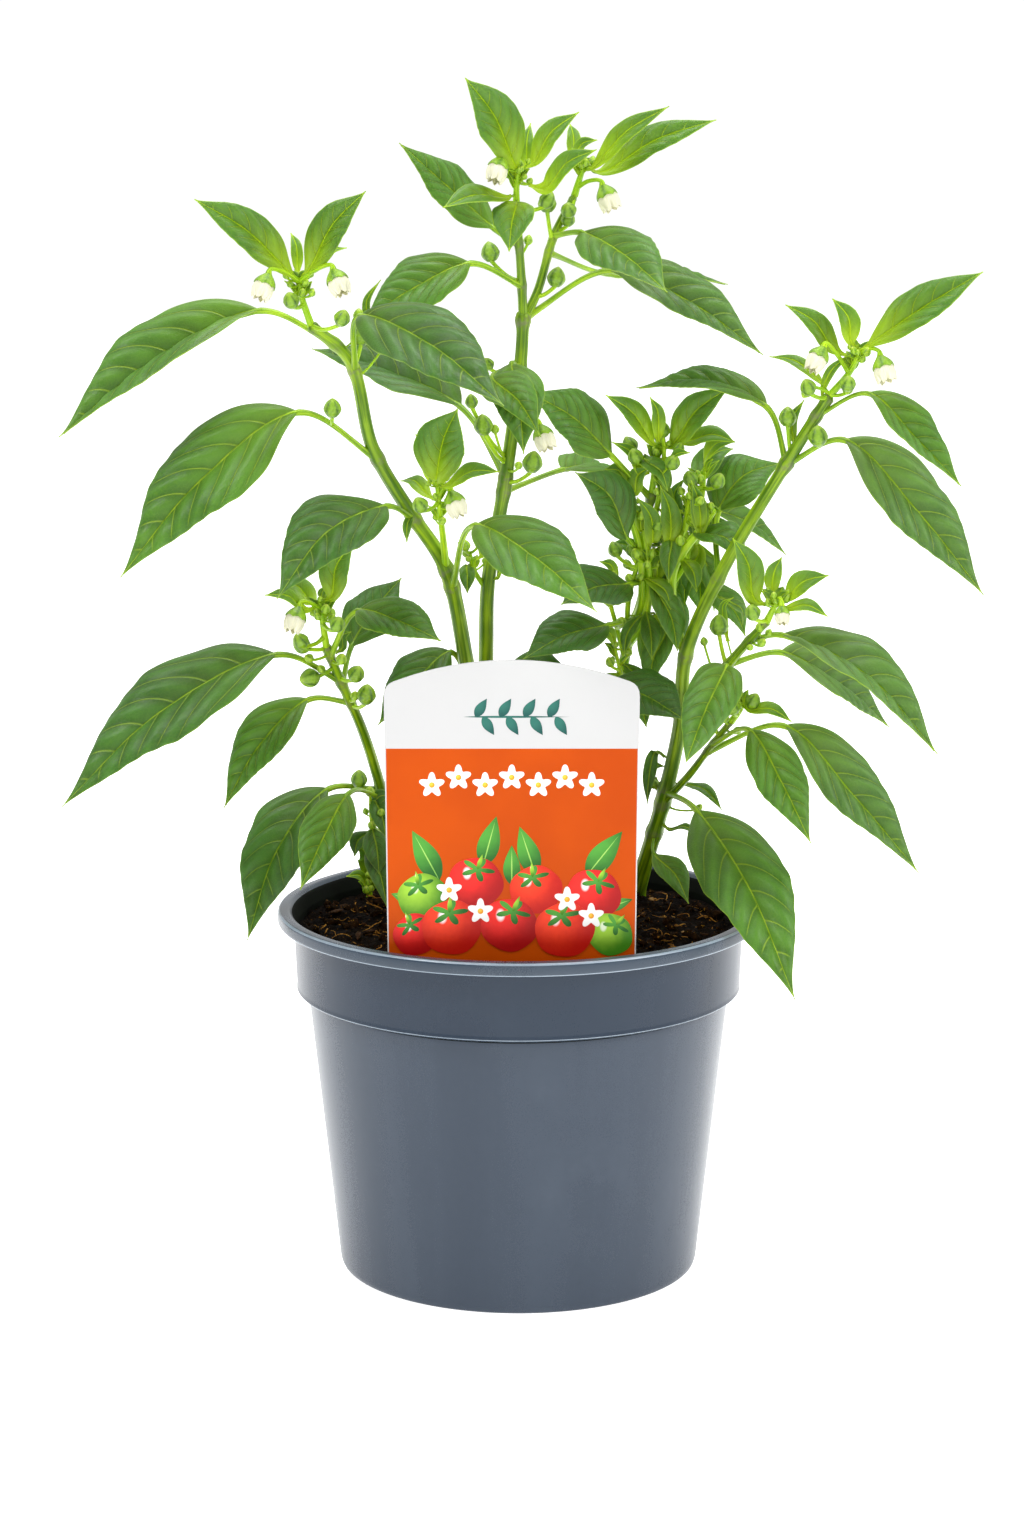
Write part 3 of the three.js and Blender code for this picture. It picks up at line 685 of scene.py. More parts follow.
def ring_at(radius: float, z: float, count: int) -> list[Place]:
    """Points in even steps around a level circle about the pot's axis."""
    return [(radius * math.cos(t), radius * math.sin(t), z) for t in turns(count)]


def around(grid: Array, flip: bool) -> Array:
    """The values at the four corners of each face of a grid, in turn, or in the other turn where flipped."""
    found = [grid[:-1, :-1], grid[:-1, 1:], grid[1:, 1:], grid[1:, :-1]]
    return np.stack(found[::-1] if flip else found, 2)


class Course:
    """A smooth line that passes through points, given in millimetres."""

    def __init__(self, points: Sequence[Sequence[float]]) -> None:
        """Keeps the points, with one more beyond each end, which the line's ends lean on.

        Args:
            points: the places that the line passes, in millimetres.
        """
        held = np.array(points, float) * MM
        self.spans = len(held) - 1
        self.held = np.vstack([2 * held[0] - held[1], held, 2 * held[-1] - held[-2]])

    def places(self, shares: Array) -> Array:
        """Points of the line.

        Args:
            shares: how far along each point is, with the same share for each span.

        Returns:
            A row of x, y and z for each share.
        """
        shares = np.atleast_1d(np.asarray(shares, float))
        span = np.clip((shares * self.spans).astype(int), 0, self.spans - 1)
        step = (shares * self.spans - span)[:, None]
        a, b, c, d = (self.held[span + k] for k in range(4))
        pairs = ((a, b), (b, c), (c, d))
        ab, bc, cd = (np.sqrt(np.maximum(np.linalg.norm(q - p, axis=1), 1e-9))[:, None] for p, q in pairs)
        leave = ((b - a) / ab - (c - a) / (ab + bc) + (c - b) / bc) * bc
        reach = ((c - b) / bc - (d - b) / (bc + cd) + (d - c) / cd) * bc
        bend = 3 * (c - b) - 2 * leave - reach
        return b + leave * step + bend * step**2 + (2 * (b - c) + leave + reach) * step**3

    def evenly(self, count: int) -> Array:
        """A number of points from end to end, in metres."""
        return self.places(np.linspace(0, 1, count))

    def headings(self, shares: Array) -> Array:
        """The line's direction at each share."""
        low, high = (np.clip(np.asarray(shares, float) + gap, 0, 1) for gap in (-1e-4, 1e-4))
        return unit(self.places(high) - self.places(low))

    def length(self) -> float:
        """The line's length in metres."""
        return float(np.linalg.norm(np.diff(self.evenly(200), axis=0), axis=1).sum())

    def nearest(self, place: Sequence[float]) -> Place:
        """The point of the line nearest to a place, both in millimetres."""
        found = self.evenly(201)
        return tuple(found[np.argmin(np.linalg.norm(found - np.array(place) * MM, axis=1))] / MM)

    def at_height(self, height: float) -> Place:
        """The point of the line at a height, both in millimetres."""
        found = self.evenly(401)
        return tuple(found[np.argmin(np.abs(found[:, 2] - height * MM))] / MM)

    def frames(self, shares: Array, steady: Array) -> tuple[Array, Array]:
        """Two directions across the line.

        Args:
            shares: how far along each pair is.
            steady: a direction that the line doesn't take, which keeps the pairs from turning.

        Returns:
            A row for each share of the first directions, and one of the second.
        """
        headings = self.headings(shares)
        across = unit(np.cross(np.tile(steady, (len(headings), 1)), headings))
        return across, np.cross(across, headings)


class Skin:
    """The faces of one piece, gathered patch by patch."""

    def __init__(self, name: str, finishes: Sequence[Finish]) -> None:
        """Starts a piece with no faces.

        Args:
            name: the piece's name.
            finishes: what its patches are dressed in, by number.
        """
        self.name = name
        self.finishes = finishes
        self.points: list[Array] = []
        self.faces: list[tuple[int, ...]] = []
        self.kinds: list[int] = []
        self.maps: dict[str, list[Array]] = {"detail": [], "place": []}
        self.count = 0

    def patch(
        self, grid: Array, finish: int = 0, wrap: bool = False, flip: bool = False,
        detail: Array | None = None, place: Array | None = None,
    ) -> Array:
        """Adds a patch of four-sided faces.

        Args:
            grid: its points in metres, in rows and columns.
            finish: the number of its finish.
            wrap: whether the last column joins the first. The values then have one column more.
            flip: whether the faces look the other way.
            detail: two numbers for each point, kept at face corners.
            place: two more.

        Returns:
            The numbers of its points, in rows and columns.
        """
        rows, cols = grid.shape[:2]
        index = self.count + np.arange(rows * cols).reshape(rows, cols)
        self.points.append(grid.reshape(-1, 3))
        self.count += rows * cols
        joined = np.concatenate([index, index[:, :1]], axis=1) if wrap else index
        quads = around(joined, flip).reshape(-1, 4)
        self.faces += [tuple(q) for q in quads.tolist()]
        self.kinds += [finish] * len(quads)
        for name, values in (("detail", detail), ("place", place)):
            held = np.zeros((*joined.shape, 2)) if values is None else np.asarray(values, float)
            self.maps[name].append(around(held, flip).reshape(-1, 2))
        return index

    def cap(self, ring: Sequence[int], finish: int = 0, value: Pair = (0.0, 0.0)) -> None:
        """Closes a ring of points with one face.

        Args:
            ring: the numbers of its points.
            finish: the number of its finish.
            value: what its corners carry.
        """
        self.faces.append(tuple(int(i) for i in ring))
        self.kinds.append(finish)
        for kept in self.maps.values():
            kept.append(np.tile(value, (len(ring), 1)))

    def body(
        self, rings: Array, finish: int = 0, flip: bool = False, detail: Array | None = None,
        place: Array | None = None, last: Pair = (0.0, 0.0),
    ) -> None:
        """Adds a body of rings with a cap on each end.

        Args:
            rings: its points in metres, a row for each ring.
            finish: the number of its finish.
            flip: whether the faces look the other way.
            detail: two numbers for each point, kept at face corners.
            place: two more.
            last: what the corners of the last ring's cap carry.
        """
        index = self.patch(rings, finish, True, flip, detail, place)
        way = 1 if flip else -1
        self.cap(index[0][::way], finish)
        self.cap(index[-1][::-way], finish, last)

    def tube(
        self, centres: Array, across: Array, over: Array, radii: Array, finish: int = 0,
        marks: Array | float = 0.0,
    ) -> None:
        """Adds a closed tube.

        Args:
            centres: the middle of each ring, in metres.
            across: the direction in which a ring's first point lies.
            over: the direction of the point a quarter turn on.
            radii: each ring's radius in metres at each of its sides, in rows and columns.
            finish: the number of its finish.
            marks: a mark for each ring, kept as the first "place" value.
        """
        sides = radii.shape[1]
        turn = turns(sides)
        spokes = np.cos(turn)[None, :, None] * across[:, None] + np.sin(turn)[None, :, None] * over[:, None]
        run = np.concatenate([[0], np.cumsum(np.linalg.norm(np.diff(centres, axis=0), axis=1))]) / MM
        detail = np.stack(np.meshgrid(np.arange(sides + 1) / sides, run), -1)
        place = np.zeros_like(detail)
        place[:, :, 0] = np.reshape(marks, (-1, 1))
        self.body(centres[:, None] + radii[:, :, None] * spokes, finish, False, detail, place)

    def cord(self, course: Course, radii: Array, steady: Array, sides: int) -> None:
        """Adds a round tube along a line, in the first finish.

        Args:
            course: the line.
            radii: its radii in millimetres, in even steps from end to end.
            steady: a direction that the line doesn't take.
            sides: how many sides the tube has.
        """
        shares = np.linspace(0, 1, len(radii))
        across, over = course.frames(shares, steady)
        self.tube(course.places(shares), across, over, np.outer(radii * MM, np.ones(sides)))

    def make(self, smooth: bool = True) -> bpy.types.Object:
        """Makes the piece.

        Args:
            smooth: whether its faces are shaded smooth.

        Returns:
            The new object.
        """
        mesh = bpy.data.meshes.new(self.name)
        mesh.from_pydata(np.vstack(self.points).tolist(), [], self.faces)
        for name, kept in self.maps.items():
            layer = mesh.uv_layers.new(name=name)
            layer.data.foreach_set("uv", np.vstack(kept).astype(np.float32).ravel())
        for finish in self.finishes:
            mesh.materials.append(paint(finish))
        mesh.polygons.foreach_set("material_index", self.kinds)
        mesh.polygons.foreach_set("use_smooth", [smooth] * len(self.faces))
        mesh.update()
        made = bpy.data.objects.new(self.name, mesh)
        bpy.context.scene.collection.objects.link(made)
        log.info("%s: %d faces", self.name, len(self.faces))
        return made

    def stand(self, nodes: Sequence[str] = (), smooth: bool = True) -> bpy.types.Object:
        """Makes the piece, and says what it rides on and stands for.

        Args:
            nodes: the CAD nodes that it stands for.
            smooth: whether its faces are shaded smooth.

        Returns:
            The new object.
        """
        made = self.make(smooth)
        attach(made, "root")
        if nodes:
            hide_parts(*nodes)
        return made


def rounded(corners: Sequence[Place]) -> list[Pair]:
    """An outline with its corners rounded off.

    Args:
        corners: x, y and the length that is rounded off on each side of the corner.

    Returns:
        The points of the rounded outline.
    """
    found: list[Pair] = []
    for i, (x, y, cut) in enumerate(corners):
        if cut == 0.0 or i in (0, len(corners) - 1):
            found.append((x, y))
            continue
        here = np.array([x, y])
        before, after = (np.array(corners[k][:2]) - here for k in (i - 1, i + 1))
        reach = [min(cut, 0.45 * float(np.linalg.norm(v))) for v in (before, after)]
        start, end = (here + v / np.linalg.norm(v) * r for v, r in zip((before, after), reach))
        for share in (0.0, 0.25, 0.5, 0.75, 1.0):
            point = (1 - share) ** 2 * start + 2 * share * (1 - share) * here + share**2 * end
            found.append((float(point[0]), float(point[1])))
    return found


# -------------------- Pot, soil and label --------------------


class PotFace(IntEnum):
    """The pot's finishes, by their number."""

    BODY = 0
    # The inner wall, painted near-black as painted shade.
    INSIDE = 1
    RIM = 2
    # Light slate rows that draw painted highlight lines along rounded edges.
    EDGE = 3


@dataclass
class Pot:
    """A round nursery pot, turned from its profile. Sizes in millimetres."""

    height: float = 160.0
    rim_radius: float = 105.0
    rim_inner: float = 99.8
    lip_height: float = 5.9
    collar_top: float = 98.0
    collar_bottom: float = 96.7
    collar_z: float = 124.0
    body_top: float = 92.0
    base_radius: float = 78.5
    wall: float = 1.5
    pad_radius: float = 30.0
    foot_radius: float = 67.0
    lift: float = 2.5
    slope: float = 3.0
    floor: float = 1.6
    drain_count: int = 8
    drain_radius: float = 5.0
    drain_ring: float = 48.5
    drain_sides: int = 32
    sides: int = 192
    # How many rows past the top of the rim the inner wall's painted shade begins.
    mouth_rows: int = 5
    lip_row: int = 57
    # Rows of the profile that get the lighter finish: painted highlight lines along the collar step, the
    # lip's underside and the rim's top edge.
    painted_highlight_rows: tuple[int, ...] = (42, 43, 58, 59, 60, 67, 68)

    def inner_radius(self, z: float) -> float:
        """How wide the pot is inside.

        Args:
            z: a height.

        Returns:
            The inner radius of the wall there.
        """
        if z < self.collar_z:
            return self.base_radius + (self.body_top - self.base_radius) * z / self.collar_z - self.wall
        share = (z - self.collar_z) / (self.height - self.lip_height - self.collar_z)
        return self.collar_bottom + (self.collar_top - self.collar_bottom) * share - self.wall

    def profile(self) -> list[Pair]:
        """Draws the turned outline.

        Returns:
            Its radii and heights, from the middle of the underside round to the middle of the inner floor.
        """
        lip_z = self.height - self.lip_height
        inner, outer = self.pad_radius + self.slope, self.foot_radius - self.slope
        wall, collar_z, below_collar = self.wall, self.collar_z, self.collar_z - 2 * self.wall
        return rounded([
            (0.01, 0.0, 0.0), (self.pad_radius, 0.0, 0.4), (inner, self.lift, 0.4),
            (outer, self.lift, 0.4), (self.foot_radius, 0.0, 0.5),
            (self.base_radius - 0.6, 0.0, 1.2), (self.base_radius + 0.2, 2.4, 0.8),
            (self.body_top, collar_z, 0.7), (self.collar_bottom - 0.9, collar_z, 0.3),
            (self.collar_bottom + 0.35, collar_z + 0.9, 0.4),
            (self.collar_bottom + 0.1, collar_z + 2.6, 0.5),
            (self.collar_top, lip_z, 0.8), (self.rim_radius - 0.4, lip_z, 0.4),
            (self.rim_radius, lip_z + 1.0, 0.5), (self.rim_radius - 0.2, self.height - 0.3, 1.5),
            (self.rim_inner + 0.3, self.height - 0.1, 1.0), (self.rim_inner - wall, self.height - 2.2, 0.8),
            (self.inner_radius(lip_z), lip_z - wall, 0.5),
            (self.inner_radius(collar_z), collar_z + wall, 0.5),
            (self.inner_radius(below_collar), below_collar, 0.5),
            (self.inner_radius(self.floor), self.floor, 0.8),
            (self.foot_radius - wall, self.floor, 0.3), (outer - wall, self.floor + self.lift, 0.3),
            (inner + wall, self.floor + self.lift, 0.3), (self.pad_radius + wall, self.floor, 0.3),
            (0.01, self.floor, 0.0),
        ])

    def build(self) -> None:
        """Turns the pot, dresses its rows and drills its drain holes."""
        outline = np.array(self.profile()) * MM
        turn = turns(self.sides)
        ring = np.stack([np.cos(turn), np.sin(turn)], -1)
        flat = outline[:, None, :1] * ring[None]
        lifts = np.broadcast_to(outline[:, None, 1:], (len(outline), self.sides, 1))
        # Painted shade: the inner wall is painted near-black, with brownish specks, standing in for the shade
        # inside the pot.
        painted_inside_shade = PotFinish("pot_inside", "0b0e0a", "161a15", "2c2620", 0.6, 0.05, "")
        rim = PotFinish("pot_rim", "2e3a47", "3a4653", "6c7883", 0.2, 0.4, "")
        # Painted highlights: a light slate finish for the few rows of rounded edges, which draws bright
        # lines.
        edge = PotFinish("pot_painted_highlight", "73828f", "93a0ac", "aab4bd", 0.2, 0.6, "")
        skin = Skin("pot_shell", [PotFinish(), painted_inside_shade, rim, edge])
        skin.body(np.concatenate([flat, lifts], axis=-1), flip=True)
        # From a few rows past the top of the rim, the inner wall gets the painted shade.
        inside = int(np.argmax(outline[:, 1])) + self.mouth_rows
        kinds = np.full(len(outline) - 1, PotFace.BODY)
        kinds[self.lip_row : inside] = PotFace.RIM
        kinds[inside:] = PotFace.INSIDE
        # The listed edge rows get the painted highlights.
        kinds[list(self.painted_highlight_rows)] = PotFace.EDGE
        skin.kinds = [*np.repeat(kinds, self.sides).tolist(), PotFace.BODY, PotFace.BODY]
        self.drill(skin.stand(["pot"]))

    def drill(self, made: bpy.types.Object) -> None:
        """Cuts the ring of drain holes through the raised part of the floor.

        Args:
            made: the pot.
        """
        cutter = Skin("drain_cutter", [PotFinish()])
        steps = np.array([-2.0, 8.0]) * MM
        across, over = np.tile((1.0, 0, 0), (2, 1)), np.tile((0, 1.0, 0), (2, 1))
        radii = np.full((2, self.drain_sides), self.drain_radius * MM)
        for i in range(self.drain_count):
            turn = 2 * math.pi * (i + 0.5) / self.drain_count
            middle = np.array([math.cos(turn), math.sin(turn), 0.0]) * self.drain_ring * MM
            cutter.tube(middle + np.outer(steps, UP), across, over, radii)
        tool = cutter.stand()
        cut = made.modifiers.new("drain", "BOOLEAN")
        cut.operation = "DIFFERENCE"
        cut.solver = "EXACT"
        cut.object = tool
        shaped = bpy.data.meshes.new_from_object(made.evaluated_get(bpy.context.evaluated_depsgraph_get()))
        made.modifiers.clear()
        made.data = shaped
        bpy.data.objects.remove(tool)


@dataclass
class SoilBed:
    """Potting mix up to about 10 mm under the rim, and what lies on it. Sizes in millimetres."""

    pot: Pot
    level: float = 150.0
    crown: float = 3.0
    lump: float = 1.1
    clearance: float = 0.4
    bottom: float = 4.4
    rings: int = 74
    sides: int = 260
    clods: int = 560
    fibres: int = 320
    chips: int = 80
    seed: int = 11

    def height(self, x: float, y: float) -> float:
        """How high the bed is, with its crumbs and hollows.

        Args:
            x: a place across.
            y: a place towards the back.

        Returns:
            The height of its surface there.
        """
        swell = self.crown * (1 - (x * x + y * y) / self.pot.rim_inner**2)
        lumps = math.sin(x / 9 + 1.3) * math.cos(y / 7.5) + 0.6 * math.sin((x + y) / 5 + 0.4)
        clump = noise.noise(Vector((x / 8, y / 8, 3.1)))
        crumb = noise.noise(Vector((x / 3.1, y / 3.1, 7.7)))
        grit = noise.noise(Vector((x / 1.3, y / 1.3, 1.9)))
        return self.level + swell + self.lump * lumps + 2.2 * clump + 1.5 * abs(crumb) + 0.7 * grit - 0.7

    def build(self) -> None:
        """Makes the bed and what lies on it."""
        self.bed()
        self.scatter_clods()
        self.scatter_fibres()
        self.scatter_chips()

    def bed(self) -> None:
        """Makes the body of soil with its rough top."""
        edge = self.pot.inner_radius(self.level) - self.clearance
        rows = []
        for radius in np.linspace(0.3, edge, self.rings):
            rows.append([(x, y, self.height(x, y)) for x, y, _ in ring_at(radius, 0.0, self.sides)])
        for z in (self.pot.collar_z + self.pot.wall, self.pot.collar_z - 2 * self.pot.wall, self.bottom):
            rows.append(ring_at(self.pot.inner_radius(z) - self.clearance, z, self.sides))
        skin = Skin("soil_bed", [SoilFinish("soil_mix", "010000", "140a02", "8a5a1c")])
        skin.body(np.array(rows) * MM, flip=True)
        skin.stand(["soil"])

    def spot(self, chance: random.Random, margin: float) -> Pair:
        """Picks a place on the bed.

        Args:
            chance: where its random draws come from.
            margin: how far it stays from the pot's wall.

        Returns:
            The place's x and y.
        """
        reach = self.pot.inner_radius(self.level) - margin
        radius = reach * math.sqrt(chance.random())
        turn = chance.uniform(0, 2 * math.pi)
        return radius * math.cos(turn), radius * math.sin(turn)

    def scatter_clods(self) -> None:
        """Strews crumbs and clods that are half sunk in the bed."""
        chance = random.Random(self.seed)
        skin = Skin("soil_clods", [SoilFinish("soil_clod", "050200", "301c08", "b8842c")])
        for _ in range(self.clods):
            size = 0.9 + 2.6 * chance.random() ** 2.5
            x, y = self.spot(chance, 3.0 + size)
            middle = np.array([x, y, self.height(x, y) + 0.25 * size])
            salt = Vector((chance.uniform(0, 90), chance.uniform(0, 90), 0))
            rows = []
            for lift in np.linspace(0.08, math.pi - 0.08, 7):
                ring = []
                out, up = math.sin(lift), math.cos(lift)
                for t in turns(10):
                    way = Vector((out * math.cos(t), out * math.sin(t), up))
                    reach = size * (0.75 + 0.7 * noise.noise(way * 1.4 + salt))
                    ring.append(middle + np.array(way) * reach * (1, 1, 0.75))
                rows.append(ring)
            skin.body(np.array(rows) * MM)
        skin.stand()

    def scatter_fibres(self) -> None:
        """Strews golden brown fibres that lie over the crumbs and taper to their ends."""
        chance = random.Random(self.seed + 1)
        skin = Skin("soil_fibres", [SoilFinish("soil_fibre", "7a4e18", "c08c3c", "f0cc80", 0.6)])
        taper = 0.5 + 0.5 * np.sin(np.pi * np.linspace(0, 1, 10)) ** 0.5
        for _ in range(self.fibres):
            length = chance.uniform(3, 11)
            x, y = self.spot(chance, 6.0 + length / 2)
            turn = chance.uniform(0, 2 * math.pi)
            bend = chance.uniform(-1.2, 1.2)
            points = []
            for share in (-0.5, -0.25, 0.0, 0.25, 0.5):
                angle = turn + bend * share
                px, py = x + share * length * math.cos(angle), y + share * length * math.sin(angle)
                points.append((px, py, self.height(px, py) + 0.5 + 0.7 * (0.25 - share * share)))
            skin.cord(Course(points), taper * chance.uniform(0.13, 0.28), STEADY_HIGH, 5)
        skin.stand()

    def scatter_chips(self) -> None:
        """Strews flat chips of bark, and one of light wood in every seven."""
        chance = random.Random(self.seed + 2)
        bark = SoilFinish("bark_chip", "1d120a", "4b321d", "8d6c41", 0.8)
        wood = SoilFinish("wood_chip", "7a5a34", "b3915f", "d8c091", 0.75)
        skin = Skin("soil_chips", [bark, wood])
        shape = [(math.cos(t), math.sin(t)) for t in np.linspace(0, 2 * math.pi, 8)[:-1]]
        for number in range(self.chips):
            size = chance.uniform(1.4, 4.2)
            x, y = self.spot(chance, 4.0 + size)
            turn = chance.uniform(0, 2 * math.pi)
            along = np.array([math.cos(turn), math.sin(turn), chance.uniform(-0.3, 0.3)])
            side = unit(np.cross(UP, along))
            lift = unit(np.cross(along, side))
            middle = np.array([x, y, self.height(x, y) + 0.5])
            ring = [
                (a * size * chance.uniform(0.7, 1.1), b * size * chance.uniform(0.25, 0.5)) for a, b in shape
            ]
            rows = [
                [middle + along * a * s + side * b * s + lift * h for a, b in ring]
                for s, h in ((0.8, -0.45), (1.0, -0.2), (1.0, 0.2), (0.8, 0.45))
            ]
            skin.body(np.array(rows) * MM, 1 if number % 7 == 0 else 0)
        skin.stand(smooth=False)


@dataclass
class PictureLabel:
    """An upright card on a stake, with an arched head and a generic printed design. Sizes in millimetres."""

    x: float = -2.9
    y: float = -75.0
    thickness: float = 0.8
    half_width: float = 52.7
    bottom_half: float = 51.6
    bottom_z: float = 141.0
    shoulder_z: float = 270.0
    peak_z: float = 280.7
    shoulder_radius: float = 5.0
    stake: Outline = ((0.0, 84.0), (8.0, 94.0), (17.0, 134.0))
    arc_steps: int = 40
    arc_start: int = 7
    bevel: Pair = (0.25, 0.2)

    def side(self) -> list[Pair]:
        """Draws the right half of the outline about the card's middle line.

        Returns:
            Its points, from the stake's tip up to the peak.
        """
        rise = self.peak_z - self.shoulder_z
        half = self.half_width
        radius = (half**2 + rise**2) / (2 * rise)
        corners = [(x, z, 1.0) for x, z in self.stake]
        corners += [
            (self.bottom_half - self.shoulder_radius, self.bottom_z, 2.0),
            (self.bottom_half, self.bottom_z + self.shoulder_radius, 2.0),
            (half, self.shoulder_z + 0.3, self.shoulder_radius),
        ]
        for i in range(self.arc_start, self.arc_steps + 1):
            x = half * (1 - i / self.arc_steps)
            corners.append((x, self.peak_z - radius + math.sqrt(radius**2 - x**2), 0.0))
        return rounded(corners)

    def build(self) -> None:
        """Makes the card with its bevelled edge, and prints it."""
        right = self.side()
        outline = np.array(right + [(-x, z) for x, z in right[-2:0:-1]])
        heading = unit(np.roll(outline, -1, axis=0) - np.roll(outline, 1, axis=0))
        outward = np.stack([heading[:, 1], -heading[:, 0]], -1)
        half = self.thickness / 2
        cut, run = self.bevel
        rows = []
        for inset, depth in ((cut, -half), (0.0, run - half), (0.0, half - run), (cut, half)):
            flat = outline - outward * inset
            rows.append(np.stack([flat[:, 0] + self.x, np.full(len(flat), self.y + depth), flat[:, 1]], -1))
        skin = Skin("label_card", [CardFinish()])
        skin.body(np.array(rows) * MM, flip=True)
        skin.stand(["label"], smooth=False)
        Design(self).build()


@dataclass(frozen=True)
class Motif:
    """One printed shape: its outline about its own base, where it goes and its turn in degrees."""

    finish: PrintFinish
    ring: Outline
    at: Pair
    turn: float = 0.0


def disc(radius: float, squash: float = 1.0, lobes: int = 0, depth: float = 0.0) -> Outline:
    """Draws a round or lobed shape.

    Args:
        radius: its radius.
        squash: its height as a share of its width.
        lobes: how many lobes it has.
        depth: how far they stand out, as a share of the radius.

    Returns:
        Its outline about its middle.
    """
    turn = np.linspace(0, 2 * np.pi, 61)[:-1]
    reach = radius * (1 + depth * np.cos(lobes * turn))
    return tuple((float(r * math.cos(t)), float(r * math.sin(t) * squash)) for r, t in zip(reach, turn))


def blade(length: float, width: float) -> Outline:
    """Draws a pointed leaf.

    Args:
        length: how long it is.
        width: how wide it is.

    Returns:
        Its outline from its base.
    """
    share = np.linspace(0, 1, 20)
    half = width / 2 * np.sin(np.pi * share**0.75)
    lower = [(float(length * s), float(-h)) for s, h in zip(share, half)]
    return tuple(lower + [(x, -y) for x, y in lower[-2:0:-1]])


RED = PrintFinish("print_red", "a30a0c", "f02a22", 0.85)
SCARLET = PrintFinish("print_scarlet", "b81408", "f5401f", 0.85)
LIME = PrintFinish("print_lime", "3c7a14", "9ccb3a", 0.6)
GREEN = PrintFinish("print_green", "1f5a1c", "4f9a36")
RIB = PrintFinish("print_rib", "7fb84a", "a4d068")
TEAL = PrintFinish("print_teal", "1c4f4a", "2c6a5e")
WHITE = PrintFinish("print_white", "ecece8", "f8f8f8")
GOLD = PrintFinish("print_gold", "e09512", "f6c040")
INKS = (RED, SCARLET, LIME, GREEN, RIB, TEAL, WHITE, GOLD)

# Printed leaves: x, z, turn in degrees and length.
PRINTED_LEAVES = (
    (-30, 188, 118, 24), (-12, 194, 75, 22), (10, 190, 108, 22), (31, 190, 52, 24),
    (-38, 178, 160, 13), (39, 176, 20, 12), (0, 186, 90, 17),
)
# Printed fruits: x, z, radius, turn in degrees and colour.
PRINTED_FRUITS = (
    (-37, 181, 10.5, 20, LIME), (-15, 187, 11.5, -8, RED), (10, 184, 11.0, 14, SCARLET),
    (34, 182, 11.5, -18, RED), (-40, 165, 9.5, 30, RED), (-25, 168, 12.5, 8, SCARLET),
    (41, 165, 9.5, -30, LIME), (-1, 169, 12.0, -14, RED), (22, 167, 12.5, 10, SCARLET),
)
PRINTED_BLOSSOMS = ((-26, 184), (23, 180), (-13, 175), (33, 173))


